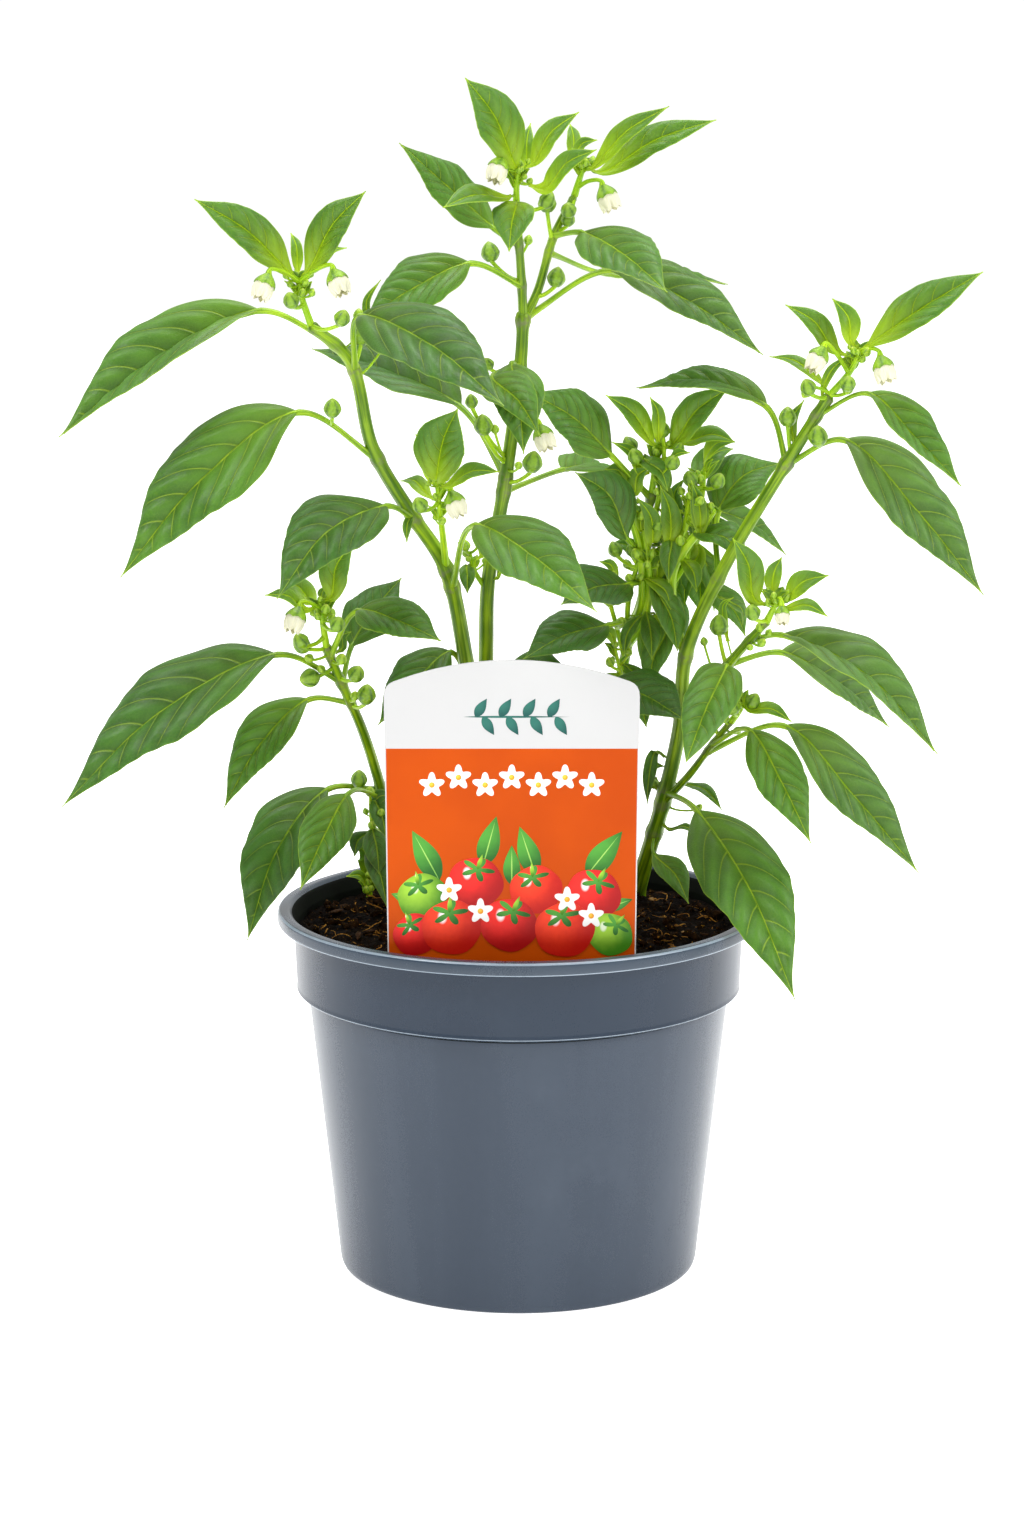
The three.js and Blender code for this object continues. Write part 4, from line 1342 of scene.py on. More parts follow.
@dataclass
class Design:
    """The card's printed design: a sprig on the head, a garland under it, and a heap of round fruits."""

    card: PictureLabel
    ink_start: float = 0.02
    ink_step: float = 0.008
    rings: tuple[float, ...] = (1.0, 0.8, 0.55, 0.3, 0.03)
    sprig_z: float = 257.0
    sprig_pairs: int = 4
    garland_z: float = 230.0
    garland_wave: float = 1.6
    garland_count: int = 7
    blossom_radius: float = 4.2

    def leaf(self, at: Pair, turn: float, length: float) -> list[Motif]:
        """A leaf with a light midrib."""
        body, midrib = blade(length, length * 0.42), blade(length * 0.92, 0.5)
        return [Motif(GREEN, body, at, turn), Motif(RIB, midrib, at, turn)]

    def fruit(self, at: Pair, radius: float, turn: float, colour: PrintFinish) -> list[Motif]:
        """A round fruit with its star of sepals.

        Args:
            at: its middle.
            radius: its radius.
            turn: how far it leans, in degrees.
            colour: its colour.

        Returns:
            Its shapes, from the back to the front.
        """
        sine, cosine = math.sin(math.radians(turn)), math.cos(math.radians(turn))
        crown = (at[0] - radius * 0.5 * sine, at[1] + radius * 0.5 * cosine)
        return [
            Motif(colour, disc(radius, 0.93, 5, 0.02), at, turn),
            Motif(GREEN, disc(radius * 0.4, 0.7, 5, 0.6), crown, turn),
            Motif(LIME, blade(radius * 0.6, radius * 0.16), crown, turn + 80),
        ]

    def blossom(self, at: Pair) -> list[Motif]:
        """A white blossom with a gold middle."""
        petals = disc(self.blossom_radius, 1.0, 5, 0.3)
        return [Motif(WHITE, petals, at, 18.0), Motif(GOLD, disc(self.blossom_radius * 0.28), at)]

    def print_shapes(self, name: str, motifs: Sequence[Motif]) -> None:
        """Prints shapes of several colours as one piece.

        Args:
            name: the piece's name.
            motifs: the shapes, each over the ones before it.
        """
        skin = Skin(name, INKS)
        face = self.card.y - self.card.thickness / 2
        for number, motif in enumerate(motifs):
            cosine, sine = math.cos(math.radians(motif.turn)), math.sin(math.radians(motif.turn))
            flat = np.array([(x * cosine - y * sine, x * sine + y * cosine) for x, y in motif.ring])
            middle = flat.mean(axis=0)
            reach = np.linalg.norm(flat - middle, axis=1).max()
            depth = face - self.ink_start - self.ink_step * number
            rows, local = [], []
            for share, y in [(1.0, face + self.ink_start), *((share, depth) for share in self.rings)]:
                spot = middle + (flat - middle) * share
                place = spot + np.array(motif.at) + (self.card.x, 0.0)
                rows.append(np.stack([place[:, 0], np.full(len(flat), y), place[:, 1]], -1))
                value = (spot - middle) / reach
                local.append(np.concatenate([value, value[:1]]))
            skin.body(np.array(rows) * MM, INKS.index(motif.finish), detail=np.array(local))
        skin.stand(["label"], smooth=False)

    def build(self) -> None:
        """Prints the sprig, the garland and the heap of fruits."""
        sprigs = [Motif(TEAL, blade(44.0, 0.9), (-20.0, self.sprig_z))]
        for step in range(self.sprig_pairs):
            for shift, turn in ((0.0, 58.0), (3.0, -58.0)):
                at = (-15.0 + 10.0 * step + shift, self.sprig_z)
                sprigs.append(Motif(TEAL, blade(9.0, 4.2), at, turn))
        self.print_shapes("label_sprig", sprigs)
        garland: list[Motif] = []
        for step in range(self.garland_count):
            wave = self.garland_wave if step % 2 else -self.garland_wave
            garland += self.blossom((-33.0 + 11.0 * step, self.garland_z + wave))
        self.print_shapes("label_garland", garland)
        picture: list[Motif] = []
        for x, z, turn, length in PRINTED_LEAVES:
            picture += self.leaf((x, z), turn, length)
        for x, z, radius, turn, colour in PRINTED_FRUITS:
            picture += self.fruit((x, z), radius, turn, colour)
        for at in PRINTED_BLOSSOMS:
            picture += self.blossom(at)
        self.print_shapes("label_fruits", picture)


# -------------------- The plant's parts --------------------


@dataclass
class Stem:
    """A main stem or branch: a ribbed tube, thicker at its joints. Sizes in millimetres."""

    name: str
    radii: Pair
    points: Sequence[Place]
    parent: str = ""
    foot_z: float = 118.0
    sides: int = 30
    ribs: int = 5
    rib_depth: float = 0.04
    rib_twist: float = 60.0
    ring_step: float = 2.0
    joint_swell: float = 0.2
    joint_reach: float = 2.6
    soil_z: float = 149.0
    foot_swell: float = 0.3
    foot_reach: float = 5.0
    end_share: float = 0.55

    def course(self, courses: dict[str, Course]) -> Course:
        """Draws its centre line.

        Args:
            courses: the lines that are drawn, by name.

        Returns:
            The line, which starts on its parent's or down in the soil.
        """
        points = [tuple(p) for p in self.points]
        if self.parent:
            points[0] = courses[self.parent].nearest(points[0])
        else:
            points.insert(0, (points[0][0], points[0][1], self.foot_z))
        return Course(points)

    def grow(self, skin: Skin, course: Course, joints: Sequence[Place]) -> None:
        """Adds the stem's tube to a skin.

        Args:
            skin: the piece it joins.
            course: its centre line.
            joints: the places on it where something grows from it.
        """
        length = course.length() / MM
        rows = max(8, int(length / self.ring_step))
        shares = np.linspace(0, 1, rows)
        centres = course.places(shares)
        across, over = course.frames(shares, BACK)
        radius = self.radii[0] + (self.radii[1] - self.radii[0]) * shares
        marks = np.zeros(rows)
        for joint in joints:
            gap = np.linalg.norm(centres / MM - np.array(joint), axis=1)
            near = np.exp(-((gap / self.joint_reach) ** 2))
            radius = radius * (1 + self.joint_swell * near)
            marks = np.maximum(marks, np.exp(-((gap / (self.joint_reach * 0.9)) ** 2)))
        if not self.parent:
            foot = np.exp(-np.maximum(centres[:, 2] / MM - self.soil_z, 0.0) / self.foot_reach)
            radius = radius * (1 + self.foot_swell * foot)
        twist = shares[:, None] * length / self.rib_twist
        ribs = 1 + self.rib_depth * np.cos(self.ribs * turns(self.sides)[None] + twist)
        end = np.ones(rows)
        end[-1] = self.end_share
        skin.tube(centres, across, over, radius[:, None] * ribs * end[:, None] * MM, 0, marks)


@dataclass
class Leaf:
    """A leaf on its stalk. Sizes in millimetres, angles in degrees."""

    base: Place
    tip: Place
    width: float
    arch: float = 3.0
    tilt: float = 45.0
    stem: str = ""
    at: float = 0.0
    tone: Tone = GROWN
    base_power: float = 1.0
    tip_power: float = 1.5
    fold: float = 0.18
    dome: float = 0.10
    wave: float = 0.055
    quilt: float = 1.15
    crease: float = 0.35
    stalk_share: float = 1 / 3
    stalk_radius: float = 1.25
    thickness: float = 0.34
    veins: float = 7.0
    outward: float = 0.3

    def outline(self, share: Array) -> Array:
        """Draws the blade's margin.

        Args:
            share: shares of its length.

        Returns:
            Half its width there, as a share of the most.
        """
        widest = self.base_power / (self.base_power + self.tip_power)
        reach = widest**self.base_power * (1 - widest) ** self.tip_power
        return share**self.base_power * (1 - share) ** self.tip_power / reach

    def lie(self, start: Sequence[float]) -> tuple[Course, Array]:
        """Draws how the leaf lies.

        Args:
            start: where its stalk leaves the stem.

        Returns:
            Its centre line from there to the tip, and the direction across the blade.
        """
        base, tip = np.array(self.base, float), np.array(self.tip, float)
        chord = unit(tip - base)
        outward = chord * (1, 1, 0) * self.outward
        angle = math.radians(self.tilt)
        facing = UP * math.cos(angle) + FRONT * math.sin(angle) + outward
        rise = UP + outward
        rise = unit(rise - chord * rise.dot(chord))
        middle = (base + tip) / 2 + rise * self.arch
        return Course([tuple(start), self.base, tuple(middle), self.tip]), unit(np.cross(chord, facing))

    def grow(self, skin: Skin, start: Sequence[float], salt: float) -> None:
        """Adds the leaf to a skin whose finishes are those of its upper face, its underside and its stalk.

        Args:
            skin: the piece it joins.
            start: where its stalk leaves the stem.
            salt: a number that makes its waves its own.
        """
        course, crosswise = self.lie(start)
        dense = np.linspace(self.stalk_share, 1, 300)
        run = np.linalg.norm(np.diff(course.places(dense), axis=0), axis=1).cumsum()
        run = np.concatenate([[0], run]) / MM
        length = float(run[-1])
        rows = int(np.clip(length / 1.25, 12, 80))
        half_cols = int(np.clip(self.width / 2.2, 4, 12))
        u = np.linspace(0, 1, rows)
        shares = np.interp(u * length, run, dense)
        side, face = self.faces(course, shares, crosswise)
        steps = np.concatenate([(np.arange(half_cols) / half_cols) ** 1.2, [0.985, 1.0]])
        v = np.concatenate([-steps[::-1], steps[1:]])
        lift, x, phase, inset = self.relief(u, v, length, salt)
        grid = course.places(shares)[:, None] + side[:, None] * (x * MM)[..., None]
        grid = grid + face[:, None] * (lift * MM)[..., None]
        normal = unit(np.cross(np.gradient(grid, axis=1), np.gradient(grid, axis=0)))
        normal *= np.sign((normal * face[:, None]).sum(-1, keepdims=True) + 1e-12)
        top = grid + normal * (self.thickness / 2 * MM)
        low = grid - normal * (self.thickness / 2 * MM)
        middle = len(steps) - 1
        place = np.stack([inset, np.broadcast_to(u[:, None], x.shape)], -1)
        for half, offset in ((slice(0, middle + 1), 0.5), (slice(middle, None), 0.0)):
            detail = np.stack([phase[:, half] + offset, x[:, half]], -1)
            skin.patch(top[:, half], 0, False, False, detail, place[:, half])
            skin.patch(low[:, half], 1, False, True, detail, place[:, half])
        for column, flip in ((0, True), (-1, False)):
            rim = np.stack([top[:, column], low[:, column]], 1)
            edge = np.stack([np.zeros((rows, 2)), np.stack([u, u], -1)], -1)
            skin.patch(rim, 0, False, flip, None, edge)
        for row, flip in ((0, False), (-1, True)):
            skin.patch(np.stack([top[row], low[row]], 0), 0, False, flip)
        self.stalk(skin, course, crosswise)

    def faces(self, course: Course, shares: Array, crosswise: Array) -> tuple[Array, Array]:
        """The directions to the blade's side and out of its upper face.

        Args:
            course: its centre line.
            shares: how far along that line each pair is.
            crosswise: the direction across the blade.

        Returns:
            A row for each share of the first directions, and one of the second.
        """
        headings = course.headings(shares)
        side = unit(crosswise - headings * (headings @ crosswise)[:, None])
        return side, np.cross(side, headings)

    def relief(self, u: Array, v: Array, length: float, salt: float) -> tuple[Array, ...]:
        """How the blade lies and where its veins run.

        Args:
            u: shares of its length.
            v: shares of its half width, negative on one side.
            length: its length.
            salt: a number that makes its waves its own.

        Returns:
            The lift, place across, veins' phase and distance from the margin, in rows and columns.
        """
        shares = np.clip(u, 1e-6, 1 - 1e-6)
        half = self.width / 2 * self.outline(shares)
        least = 0.8 * (1 - u) ** 6 + 0.16
        half = np.maximum(half, least)[:, None]
        spacing = length / self.veins
        size = min(1.0, length / 60)
        left = (v < 0)[None]
        outward = np.abs(v)[None]
        flat_x = outward * half
        sweep = 0.75 * flat_x + 1.1 * flat_x**2 / (self.width / 2)
        phase = (u[:, None] * length - sweep) / spacing
        turn = 2 * np.pi * (phase + np.where(left, 0.5, 0.0))
        run = 2 * np.pi * u[:, None]
        side_salt = salt * 3.1 + np.where(left, 2.3, 0.0)
        slow = np.sin(1.7 * run + side_salt) + 0.6 * np.sin(3.9 * run + 2 * side_salt)
        ripple = 1 + (0.014 * np.cos(turn) + 0.024 * slow) * outward**2
        x = v[None] * half * ripple
        across = np.abs(x)
        swell = np.sin(np.pi * outward) * half
        bulge = np.sin(np.pi * np.clip(outward * 0.93 + 0.05, 0, 1)) ** 0.8
        quilt = (0.5 - 0.5 * np.cos(turn)) ** 1.3 * bulge
        crease = np.exp(-((outward * half / 1.4) ** 2))
        ends = np.sin(np.pi * np.clip(u, 0, 1))[:, None] ** 0.5
        waves = 2.3 + 0.7 * math.sin(salt * 5.1)
        shift = salt * 7.3 + np.where(left, 1.9, 0.0)
        wave = self.wave * half * outward**2 * np.sin(waves * run + shift)
        narrow = np.clip(half / 7.0, 0, 1) ** 1.5
        raised = self.quilt * size * quilt * ends * narrow
        cut = self.crease * size * crease * ends * narrow
        lift = across * self.fold + self.dome * swell - 0.10 * half * outward**4 + raised + wave * ends - cut
        return lift, x, phase, half * ripple - across

    def stalk(self, skin: Skin, course: Course, crosswise: Array) -> None:
        """Adds the grooved stalk, which runs on under the blade as its midrib.

        Args:
            skin: the piece it joins.
            course: the leaf's centre line.
            crosswise: the direction across the blade.
        """
        size = min(1.0, max(0.45, self.width / 26)) * self.stalk_radius
        ends = self.stalk_share
        shares = np.concatenate([np.linspace(0, ends, 16)[:-1], np.linspace(ends, 0.985, 34)])
        side, face = self.faces(course, shares, crosswise)
        under = np.clip((shares - ends) / (1 - ends), 0, 1)
        free = np.clip(shares / ends, 0, 1)
        radius = size * (1 + 0.75 * np.exp(-free * 9) + 0.15 * np.exp(-(1 - free) * 8))
        radius = radius * (1 - 0.86 * under**0.5)
        sunk = smooth_step(under / 0.1) * (radius * 0.62 + self.thickness / 2)
        centres = course.places(shares) - face * (sunk * MM)[:, None]
        hollow = np.exp(-(((turns(14) - np.pi / 2) / 0.5) ** 2))[None]
        groove = 1 - 0.28 * hollow * (1 - smooth_step(under / 0.05))[:, None]
        skin.tube(centres, side, face, radius[:, None] * groove * MM, 2, np.exp(-free * 12) * 0.8)


# What sets a shoot's young leaves apart: a blade that runs down its thin short stalk, and fewer veins.
SPRIG = {
    "base_power": 1.25, "tip_power": 1.4, "fold": 0.3,
    "stalk_share": 0.14, "stalk_radius": 0.85, "veins": 6.0,
}


def sprig(
    base: Place, tip: Place, width: float, tone: Tone = YOUNG, arch: float = 3.0, tilt: float = 45.0
) -> Leaf:
    """A young leaf of a shoot."""
    return Leaf(base, tip, width, arch, tilt, tone=tone, **SPRIG)


def nod(start: Array, place: Array, lift: float) -> Array:
    """The way something faces that grows from a start to a place, with a share of straight up or down."""
    return unit(unit(place - start + 1e-6) * (1 - abs(lift)) + UP * lift)


class Whorl:
    """Rings of points about a leaning axis. Sizes in millimetres."""

    def __init__(self, foot: Array, lean: Array, sides: int) -> None:
        """Sets the rings' spokes.

        Args:
            foot: where the axis starts.
            lean: the axis's direction.
            sides: how many points a ring has.
        """
        aside = unit(np.cross(lean, STEADY_SIDE))
        self.foot, self.lean, self.turn = foot, lean, turns(sides)
        self.spokes = np.cos(self.turn)[:, None] * aside + np.sin(self.turn)[:, None] * np.cross(lean, aside)

    def rings(self, down: Array, reach: Array) -> Array:
        """Points in metres, by how far each is along the axis and out from it."""
        return (self.foot + down[..., None] * self.lean + reach[..., None] * self.spokes) * MM

    def detail(self, share: Array) -> Array:
        """What its faces carry: how far each point is around, and a share for its ring."""
        return np.stack(np.meshgrid(np.arange(len(self.turn) + 1) / len(self.turn), share), -1)


@dataclass
class Bud:
    """A ribbed, urn-shaped green bud on a stout stalk. Sizes in millimetres."""

    place: Place
    radius: float = 3.1
    lift: float = 0.55
    drop: float = 6.0
    stalk_radius: float = 0.85
    tender_radius: float = 2.3

    def grow(self, skin: Skin, carrier: Course) -> None:
        """Adds the bud to a skin whose finishes are those of its stalk, of a green bud and of a tender one.

        Args:
            skin: the piece it joins.
            carrier: the line that its stalk leaves, below the bud.
        """
        middle = np.array(self.place, float)
        start = np.array(carrier.nearest(middle - UP * self.drop))
        lean = nod(start, middle, self.lift)
        foot = middle - lean * self.radius * 1.1
        bow = (start + foot) / 2 - lean * 0.12 * float(np.linalg.norm(foot - start))
        course = Course([tuple(start), tuple(bow), tuple(foot), tuple(foot + lean * 0.8)])
        shares = np.linspace(0, 1, 14)
        size = min(1.0, self.radius / 2.6) * self.stalk_radius
        radii = size * (1 + 0.5 * np.exp(-shares * 8) + 0.8 * smooth_step((shares - 0.55) / 0.4))
        skin.cord(course, radii, STEADY_HIGH, 10)
        self.urn(skin, Whorl(foot, lean, 40))

    def urn(self, skin: Skin, whorl: Whorl) -> None:
        """Adds the ribbed urn, closed to a blunt point.

        Args:
            skin: the piece it joins.
            whorl: its rings.
        """
        share = np.linspace(0.0, 1.0, 18)
        reach = self.radius * np.sin(np.pi * (0.12 + 0.875 * share)) ** 0.7
        reach = reach * (1 + 0.07 * (1 - smooth_step((share - 0.4) / 0.12)))
        pleat = np.abs(np.cos(2.5 * whorl.turn)) ** 0.7 - 0.5
        ribs = 1 + 0.12 * pleat[None] * np.sin(np.pi * share)[:, None] ** 0.6
        rings = whorl.rings((share * self.radius * 2.35)[:, None], reach[:, None] * ribs)
        finish = 2 if self.radius < self.tender_radius else 1
        skin.body(rings, finish, detail=whorl.detail(share), last=(0.0, 1.0))


@dataclass
class Bell:
    """A nodding flower: a green cup on a bowed stalk, and a bell of creamy petals. Sizes in millimetres."""

    place: Place
    lift: float = -0.62
    length: float = 12.4
    radius: float = 4.1
    flare: float = 0.12
    petals: int = 6
    rise: float = 4.0
    stalk_radius: float = 0.9
    cup_foot: float = 1.3

    def grow(self, skin: Skin, carrier: Course) -> None:
        """Adds the flower to a skin whose finishes are those of its stalk, its cup and its petals.

        Args:
            skin: the piece it joins.
            carrier: the line that its stalk leaves.
        """
        middle = np.array(self.place, float)
        start = np.array(carrier.nearest(middle + UP))
        lean = nod(start, middle, self.lift)
        top = middle - lean * self.length * 0.55
        above = top - lean * 1.2 + UP * 0.6
        bow = (start + above) / 2 + UP * self.rise * 0.35
        course = Course([tuple(start), tuple(bow), tuple(above), tuple(top + lean * 0.9)])
        shares = np.linspace(0, 1, 22)
        radii = self.stalk_radius * (1 + 0.4 * np.exp(-shares * 8) + 0.7 * smooth_step((shares - 0.6) / 0.4))
        skin.cord(course, radii, STEADY_SIDE, 10)
        whorl = Whorl(top, lean, 72)
        petal = 1 - np.abs((whorl.turn * self.petals / (2 * np.pi)) % 1 * 2 - 1)
        self.cup(skin, whorl, petal)
        self.corolla(skin, whorl, petal)

    def cup(self, skin: Skin, whorl: Whorl, petal: Array) -> None:
        """Adds the green cup, a cone with small teeth.

        Args:
            skin: the piece it joins.
            whorl: the flower's rings.
            petal: how near each direction is to the middle of a petal, from 0 at its seams to 1.
        """
        share = np.linspace(0, 1, 10)
        tall = self.length * (0.40 + 0.07 * petal**2)
        reach = self.cup_foot + (self.radius * 1.12 - self.cup_foot) * np.sin(0.5 * np.pi * share) ** 1.1
        reach = reach[:, None] * (1 + 0.04 * (petal - 0.5)[None] * share[:, None])
        down = share[:, None] * tall[None]
        inner = whorl.rings(down * 0.96 + 0.3, reach - 0.35)
        self.shell(skin, whorl.rings(down, reach), inner, whorl.detail(share * 0.7), 1)

    def corolla(self, skin: Skin, whorl: Whorl, petal: Array) -> None:
        """Adds the bell of petals, joined at the top and pointed at the mouth.

        Args:
            skin: the piece it joins.
            whorl: the flower's rings.
            petal: how near each direction is to the middle of a petal, from 0 at its seams to 1.
        """
        share = np.linspace(0, 1, 18)
        turn = whorl.turn
        uneven = 1 + 0.10 * np.sin(turn * 2 + self.place[0]) + 0.06 * np.sin(turn * 5 + self.place[2])
        tall = self.length * (0.60 + 0.13 * petal**0.7 * uneven)
        belly = 0.72 + 0.40 * np.sin(np.pi * np.clip(share * 0.84, 0, 1)) ** 0.9
        mouth = 1 + (self.flare - 0.42) * share**2.5
        keel = 1 + 0.13 * (petal[None] - 0.45) * share[:, None] ** 0.5
        curl = self.flare * 0.9 * petal[None] * share[:, None] ** 5
        reach = self.radius * (belly * mouth)[:, None] * keel + self.radius * curl
        down = self.length * 0.22 + share[:, None] * tall[None]
        self.shell(skin, whorl.rings(down, reach), whorl.rings(down, reach - 0.3), whorl.detail(share), 2)

    def shell(self, skin: Skin, outer: Array, inner: Array, detail: Array, finish: int) -> None:
        """Adds a closed shell.

        Args:
            skin: the piece it joins.
            outer: its outer surface, in rings.
            inner: its inner surface.
            detail: two numbers for each point of either surface.
            finish: the number of its finish.
        """
        outside = skin.patch(outer, finish, True, False, detail)
        inside = skin.patch(inner, finish, True, True, detail)
        lip = np.stack([outer[-1], inner[-1]], 0)
        skin.patch(lip, finish, True, False, np.stack([detail[-1], detail[-1]], 0))
        skin.cap(outside[0][::-1], finish)
        skin.cap(inside[0], finish)


@dataclass
class Growth:
    """The leaves, buds and flowers that one line carries."""

    leaves: Sequence[Leaf] = ()
    buds: Sequence[Bud] = ()
    bells: Sequence[Bell] = ()

    def build(self, name: str, node: str, course: Course) -> None:
        """Makes a piece of the leaves of each tone, one of the buds and one of the flowers.

        Args:
            name: the start of the pieces' names.
            node: the CAD node that they stand for.
            course: the line that carries them.
        """
        for tone in Tone:
            grown = [leaf for leaf in self.leaves if leaf.tone is tone]
            skin = Skin(f"{name}_{tone.value}_leaves", [UPPER[tone], UNDER[tone], STALKS[tone]])
            for number, leaf in enumerate(grown):
                leaf.grow(skin, course.nearest(leaf.base), number * 0.37 + len(name) * 0.13)
            if grown:
                skin.stand([node])
        buds = (name + "_buds", self.buds, [STALKS[YOUNG], GREEN_BUD, TENDER_BUD])
        flowers = (name + "_flowers", self.bells, [STALKS[YOUNG], GREEN_CUP, PetalFinish()])
        for piece, items, finishes in (buds, flowers):
            skin = Skin(piece, finishes)
            for item in items:
                item.grow(skin, course)
            if items:
                skin.stand([node])


@dataclass
class Shoot:
    """The young growth on the end of a stem, or a twig. Sizes in millimetres."""

    name: str
    points: Sequence[Place]
    parent: str = ""
    leaves: Sequence[Leaf] = ()
    buds: Sequence[Bud] = ()
    bells: Sequence[Bell] = ()
    radii: Pair = (1.6, 0.9)
    crowd: int = 17
    sunk: float = 2.0

    def build(self, courses: dict[str, Course], node: str) -> None:
        """Makes the shoot's axis, leaves, buds and flowers.

        Args:
            courses: the lines that are drawn, by name, which the shoot's own joins.
            node: the CAD node that it stands for.
        """
        foot_z = self.points[0][2] - self.sunk
        stem = Stem(self.name, self.radii, self.points, self.parent, foot_z, sides=20, ring_step=1.2)
        course = courses[self.name] = stem.course(courses)
        axis = Skin(self.name + "_axis", [STALKS[YOUNG]])
        stem.grow(axis, course, ())
        axis.stand([node])
        crown = self.crown(course)
        growth = Growth([*self.leaves, *crown.leaves], [*self.buds, *crown.buds], self.bells)
        growth.build(self.name, node, course)

    def crown(self, course: Course) -> Growth:
        """Strews the tiny leaves and buds that crowd the top of the axis.

        Args:
            course: the axis's centre line.

        Returns:
            The leaves and buds.
        """
        chance = random.Random(self.name)
        leaves: list[Leaf] = []
        buds: list[Bud] = []
        for number in range(self.crowd):
            share = chance.uniform(0.45, 1.0)
            foot = course.places(np.array([share]))[0] / MM
            turn = 2.4 * number + chance.uniform(-0.5, 0.5)
            out = np.array([math.cos(turn), math.sin(turn), chance.uniform(0.35, 1.3)])
            if number % 5 > 2:
                tip = foot + unit(out + UP * 0.5) * chance.uniform(6.0, 11.0)
                base = foot + unit(out) * 1.4
                tone = YOUNG if number % 2 else BRIGHT
                leaves.append(sprig(tuple(base), tuple(tip), chance.uniform(2.8, 4.6), tone, 0.8, 30.0))
            else:
                place = foot + unit(out) * chance.uniform(4.0, 7.0)
                buds.append(Bud(tuple(place), chance.uniform(1.0, 1.9), 0.6, 1.0, 0.8))
        return Growth(leaves, buds)


@dataclass
class Plant:
    """The plant: its stems, the leaves on them, the shoots and twigs, and what else its lines carry."""

    stems: Sequence[Stem]
    leaves: dict[str, Leaf]
    shoots: Sequence[Shoot]
    twigs: Sequence[Shoot]
    carried: dict[str, Growth]
    bark: StalkFinish = StalkFinish("stem_skin", "456c00", "90b216")
    courses: dict[str, Course] = field(default_factory=dict)

    def joints(self) -> dict[str, list[Place]]:
        """Finds where things grow from the stems.

        Returns:
            The places on each stem, by its name.
        """
        found: dict[str, list[Place]] = {stem.name: [] for stem in self.stems}
        for leaf in self.leaves.values():
            found[leaf.stem].append(self.courses[leaf.stem].at_height(leaf.at))
        for item in [*self.stems, *self.shoots]:
            if item.parent:
                found[item.parent].append(self.courses[item.parent].nearest(item.points[0]))
        return found

    def build(self) -> None:
        """Grows the plant from its stems out."""
        for stem in self.stems:
            self.courses[stem.name] = stem.course(self.courses)
        for stem, joints in zip(self.stems, self.joints().values()):
            skin = Skin(stem.name + "_skin", [self.bark])
            stem.grow(skin, self.courses[stem.name], joints)
            skin.stand([stem.name])
        for number, (name, leaf) in enumerate(self.leaves.items()):
            skin = Skin(name + "_blade", [UPPER[leaf.tone], UNDER[leaf.tone], STALKS[leaf.tone]])
            start = self.courses[leaf.stem].at_height(leaf.at)
            leaf.grow(skin, start, number * 0.61)
            skin.stand([name])
            self.courses[name] = leaf.lie(start)[0]
        for shoot in self.shoots:
            shoot.build(self.courses, shoot.name)
        for twig in self.twigs:
            twig.build(self.courses, twig.parent)
        for name, growth in self.carried.items():
            growth.build(name + "_side", name, self.courses[name])


@dataclass
class Studio:
    """A plain pale floor, soft light and the camera. Metres, degrees and watts."""

    place: Place = (-0.0028, -1.557, 0.52678)
    pitch: float = 11.12
    lens: float = 85.8
    film_width: float = 36.0
    sight: float = 50.0
    aim: Place = (0.0, 0.0, 0.28)
    lamps: tuple[tuple[str, Place, float, float], ...] = (
        ("key", (-1.1, -0.8, 1.9), 0.8, 24.5),
        ("fill", (1.6, -0.8, 1.4), 0.9, 23.0),
        ("top", (0.1, 0.3, 2.1), 1.0, 22.0),
        ("front", (0.0, -1.9, 0.8), 0.9, 7.0),
    )
    floor_radius: float = 6.0
    floor_depth: float = 0.002

    def build(self) -> None:
        """Sets the floor, the sky, the lamps and the camera."""
        self.floor()
        self.sky()
        for name, place, size, power in self.lamps:
            self.lamp(name, place, size, power)
        held = bpy.data.cameras.new("camera")
        held.lens = self.lens
        held.sensor_width = self.film_width
        held.clip_end = self.sight
        camera = bpy.data.objects.new("camera", held)
        camera.location = self.place
        camera.rotation_euler = (math.radians(90 - self.pitch), 0.0, 0.0)
        bpy.context.scene.collection.objects.link(camera)
        bpy.context.scene.camera = camera
        bpy.context.scene.view_settings.view_transform = "Standard"

    def floor(self) -> None:
        """Makes the floor, a wide thin disc under the pot."""
        skin = Skin("floor", [FloorFinish()])
        skin.body(np.array([ring_at(self.floor_radius, z, 64) for z in (-self.floor_depth, 0.0)]))
        skin.make(smooth=False)

    def sky(self) -> None:
        """Makes a surround that is white behind and beside the plant, and dim behind the camera."""
        sheet = Sheet("surround", True)
        depth, height = sheet.split(sheet.node("ShaderNodeTexCoord", output="Generated"), (1, 2))
        white = 0.18 + 0.66 * depth.ramp(-0.45, 0.25) + 0.12 * height.ramp(0.3, 0.9)
        white = white + 0.2 * depth.ramp(0.9, 0.975)
        back = sheet.node("ShaderNodeBackground", sockets={"Color": (1.0, 1.0, 1.0, 1.0), "Strength": white})
        sheet.node("ShaderNodeOutputWorld", sockets={"Surface": back})
        bpy.context.scene.world = sheet.material

    def lamp(self, name: str, place: Place, size: float, power: float) -> None:
        """Hangs a square soft lamp that shines at the plant.

        Args:
            name: its name.
            place: where it hangs.
            size: the length of its sides.
            power: its power.
        """
        held = bpy.data.lights.new(name, "AREA")
        held.size = size
        held.energy = power
        made = bpy.data.objects.new(name, held)
        made.location = place
        made.rotation_euler = (Vector(self.aim) - Vector(place)).to_track_quat("-Z", "Y").to_euler()
        bpy.context.scene.collection.objects.link(made)


# -------------------- How this plant grows --------------------

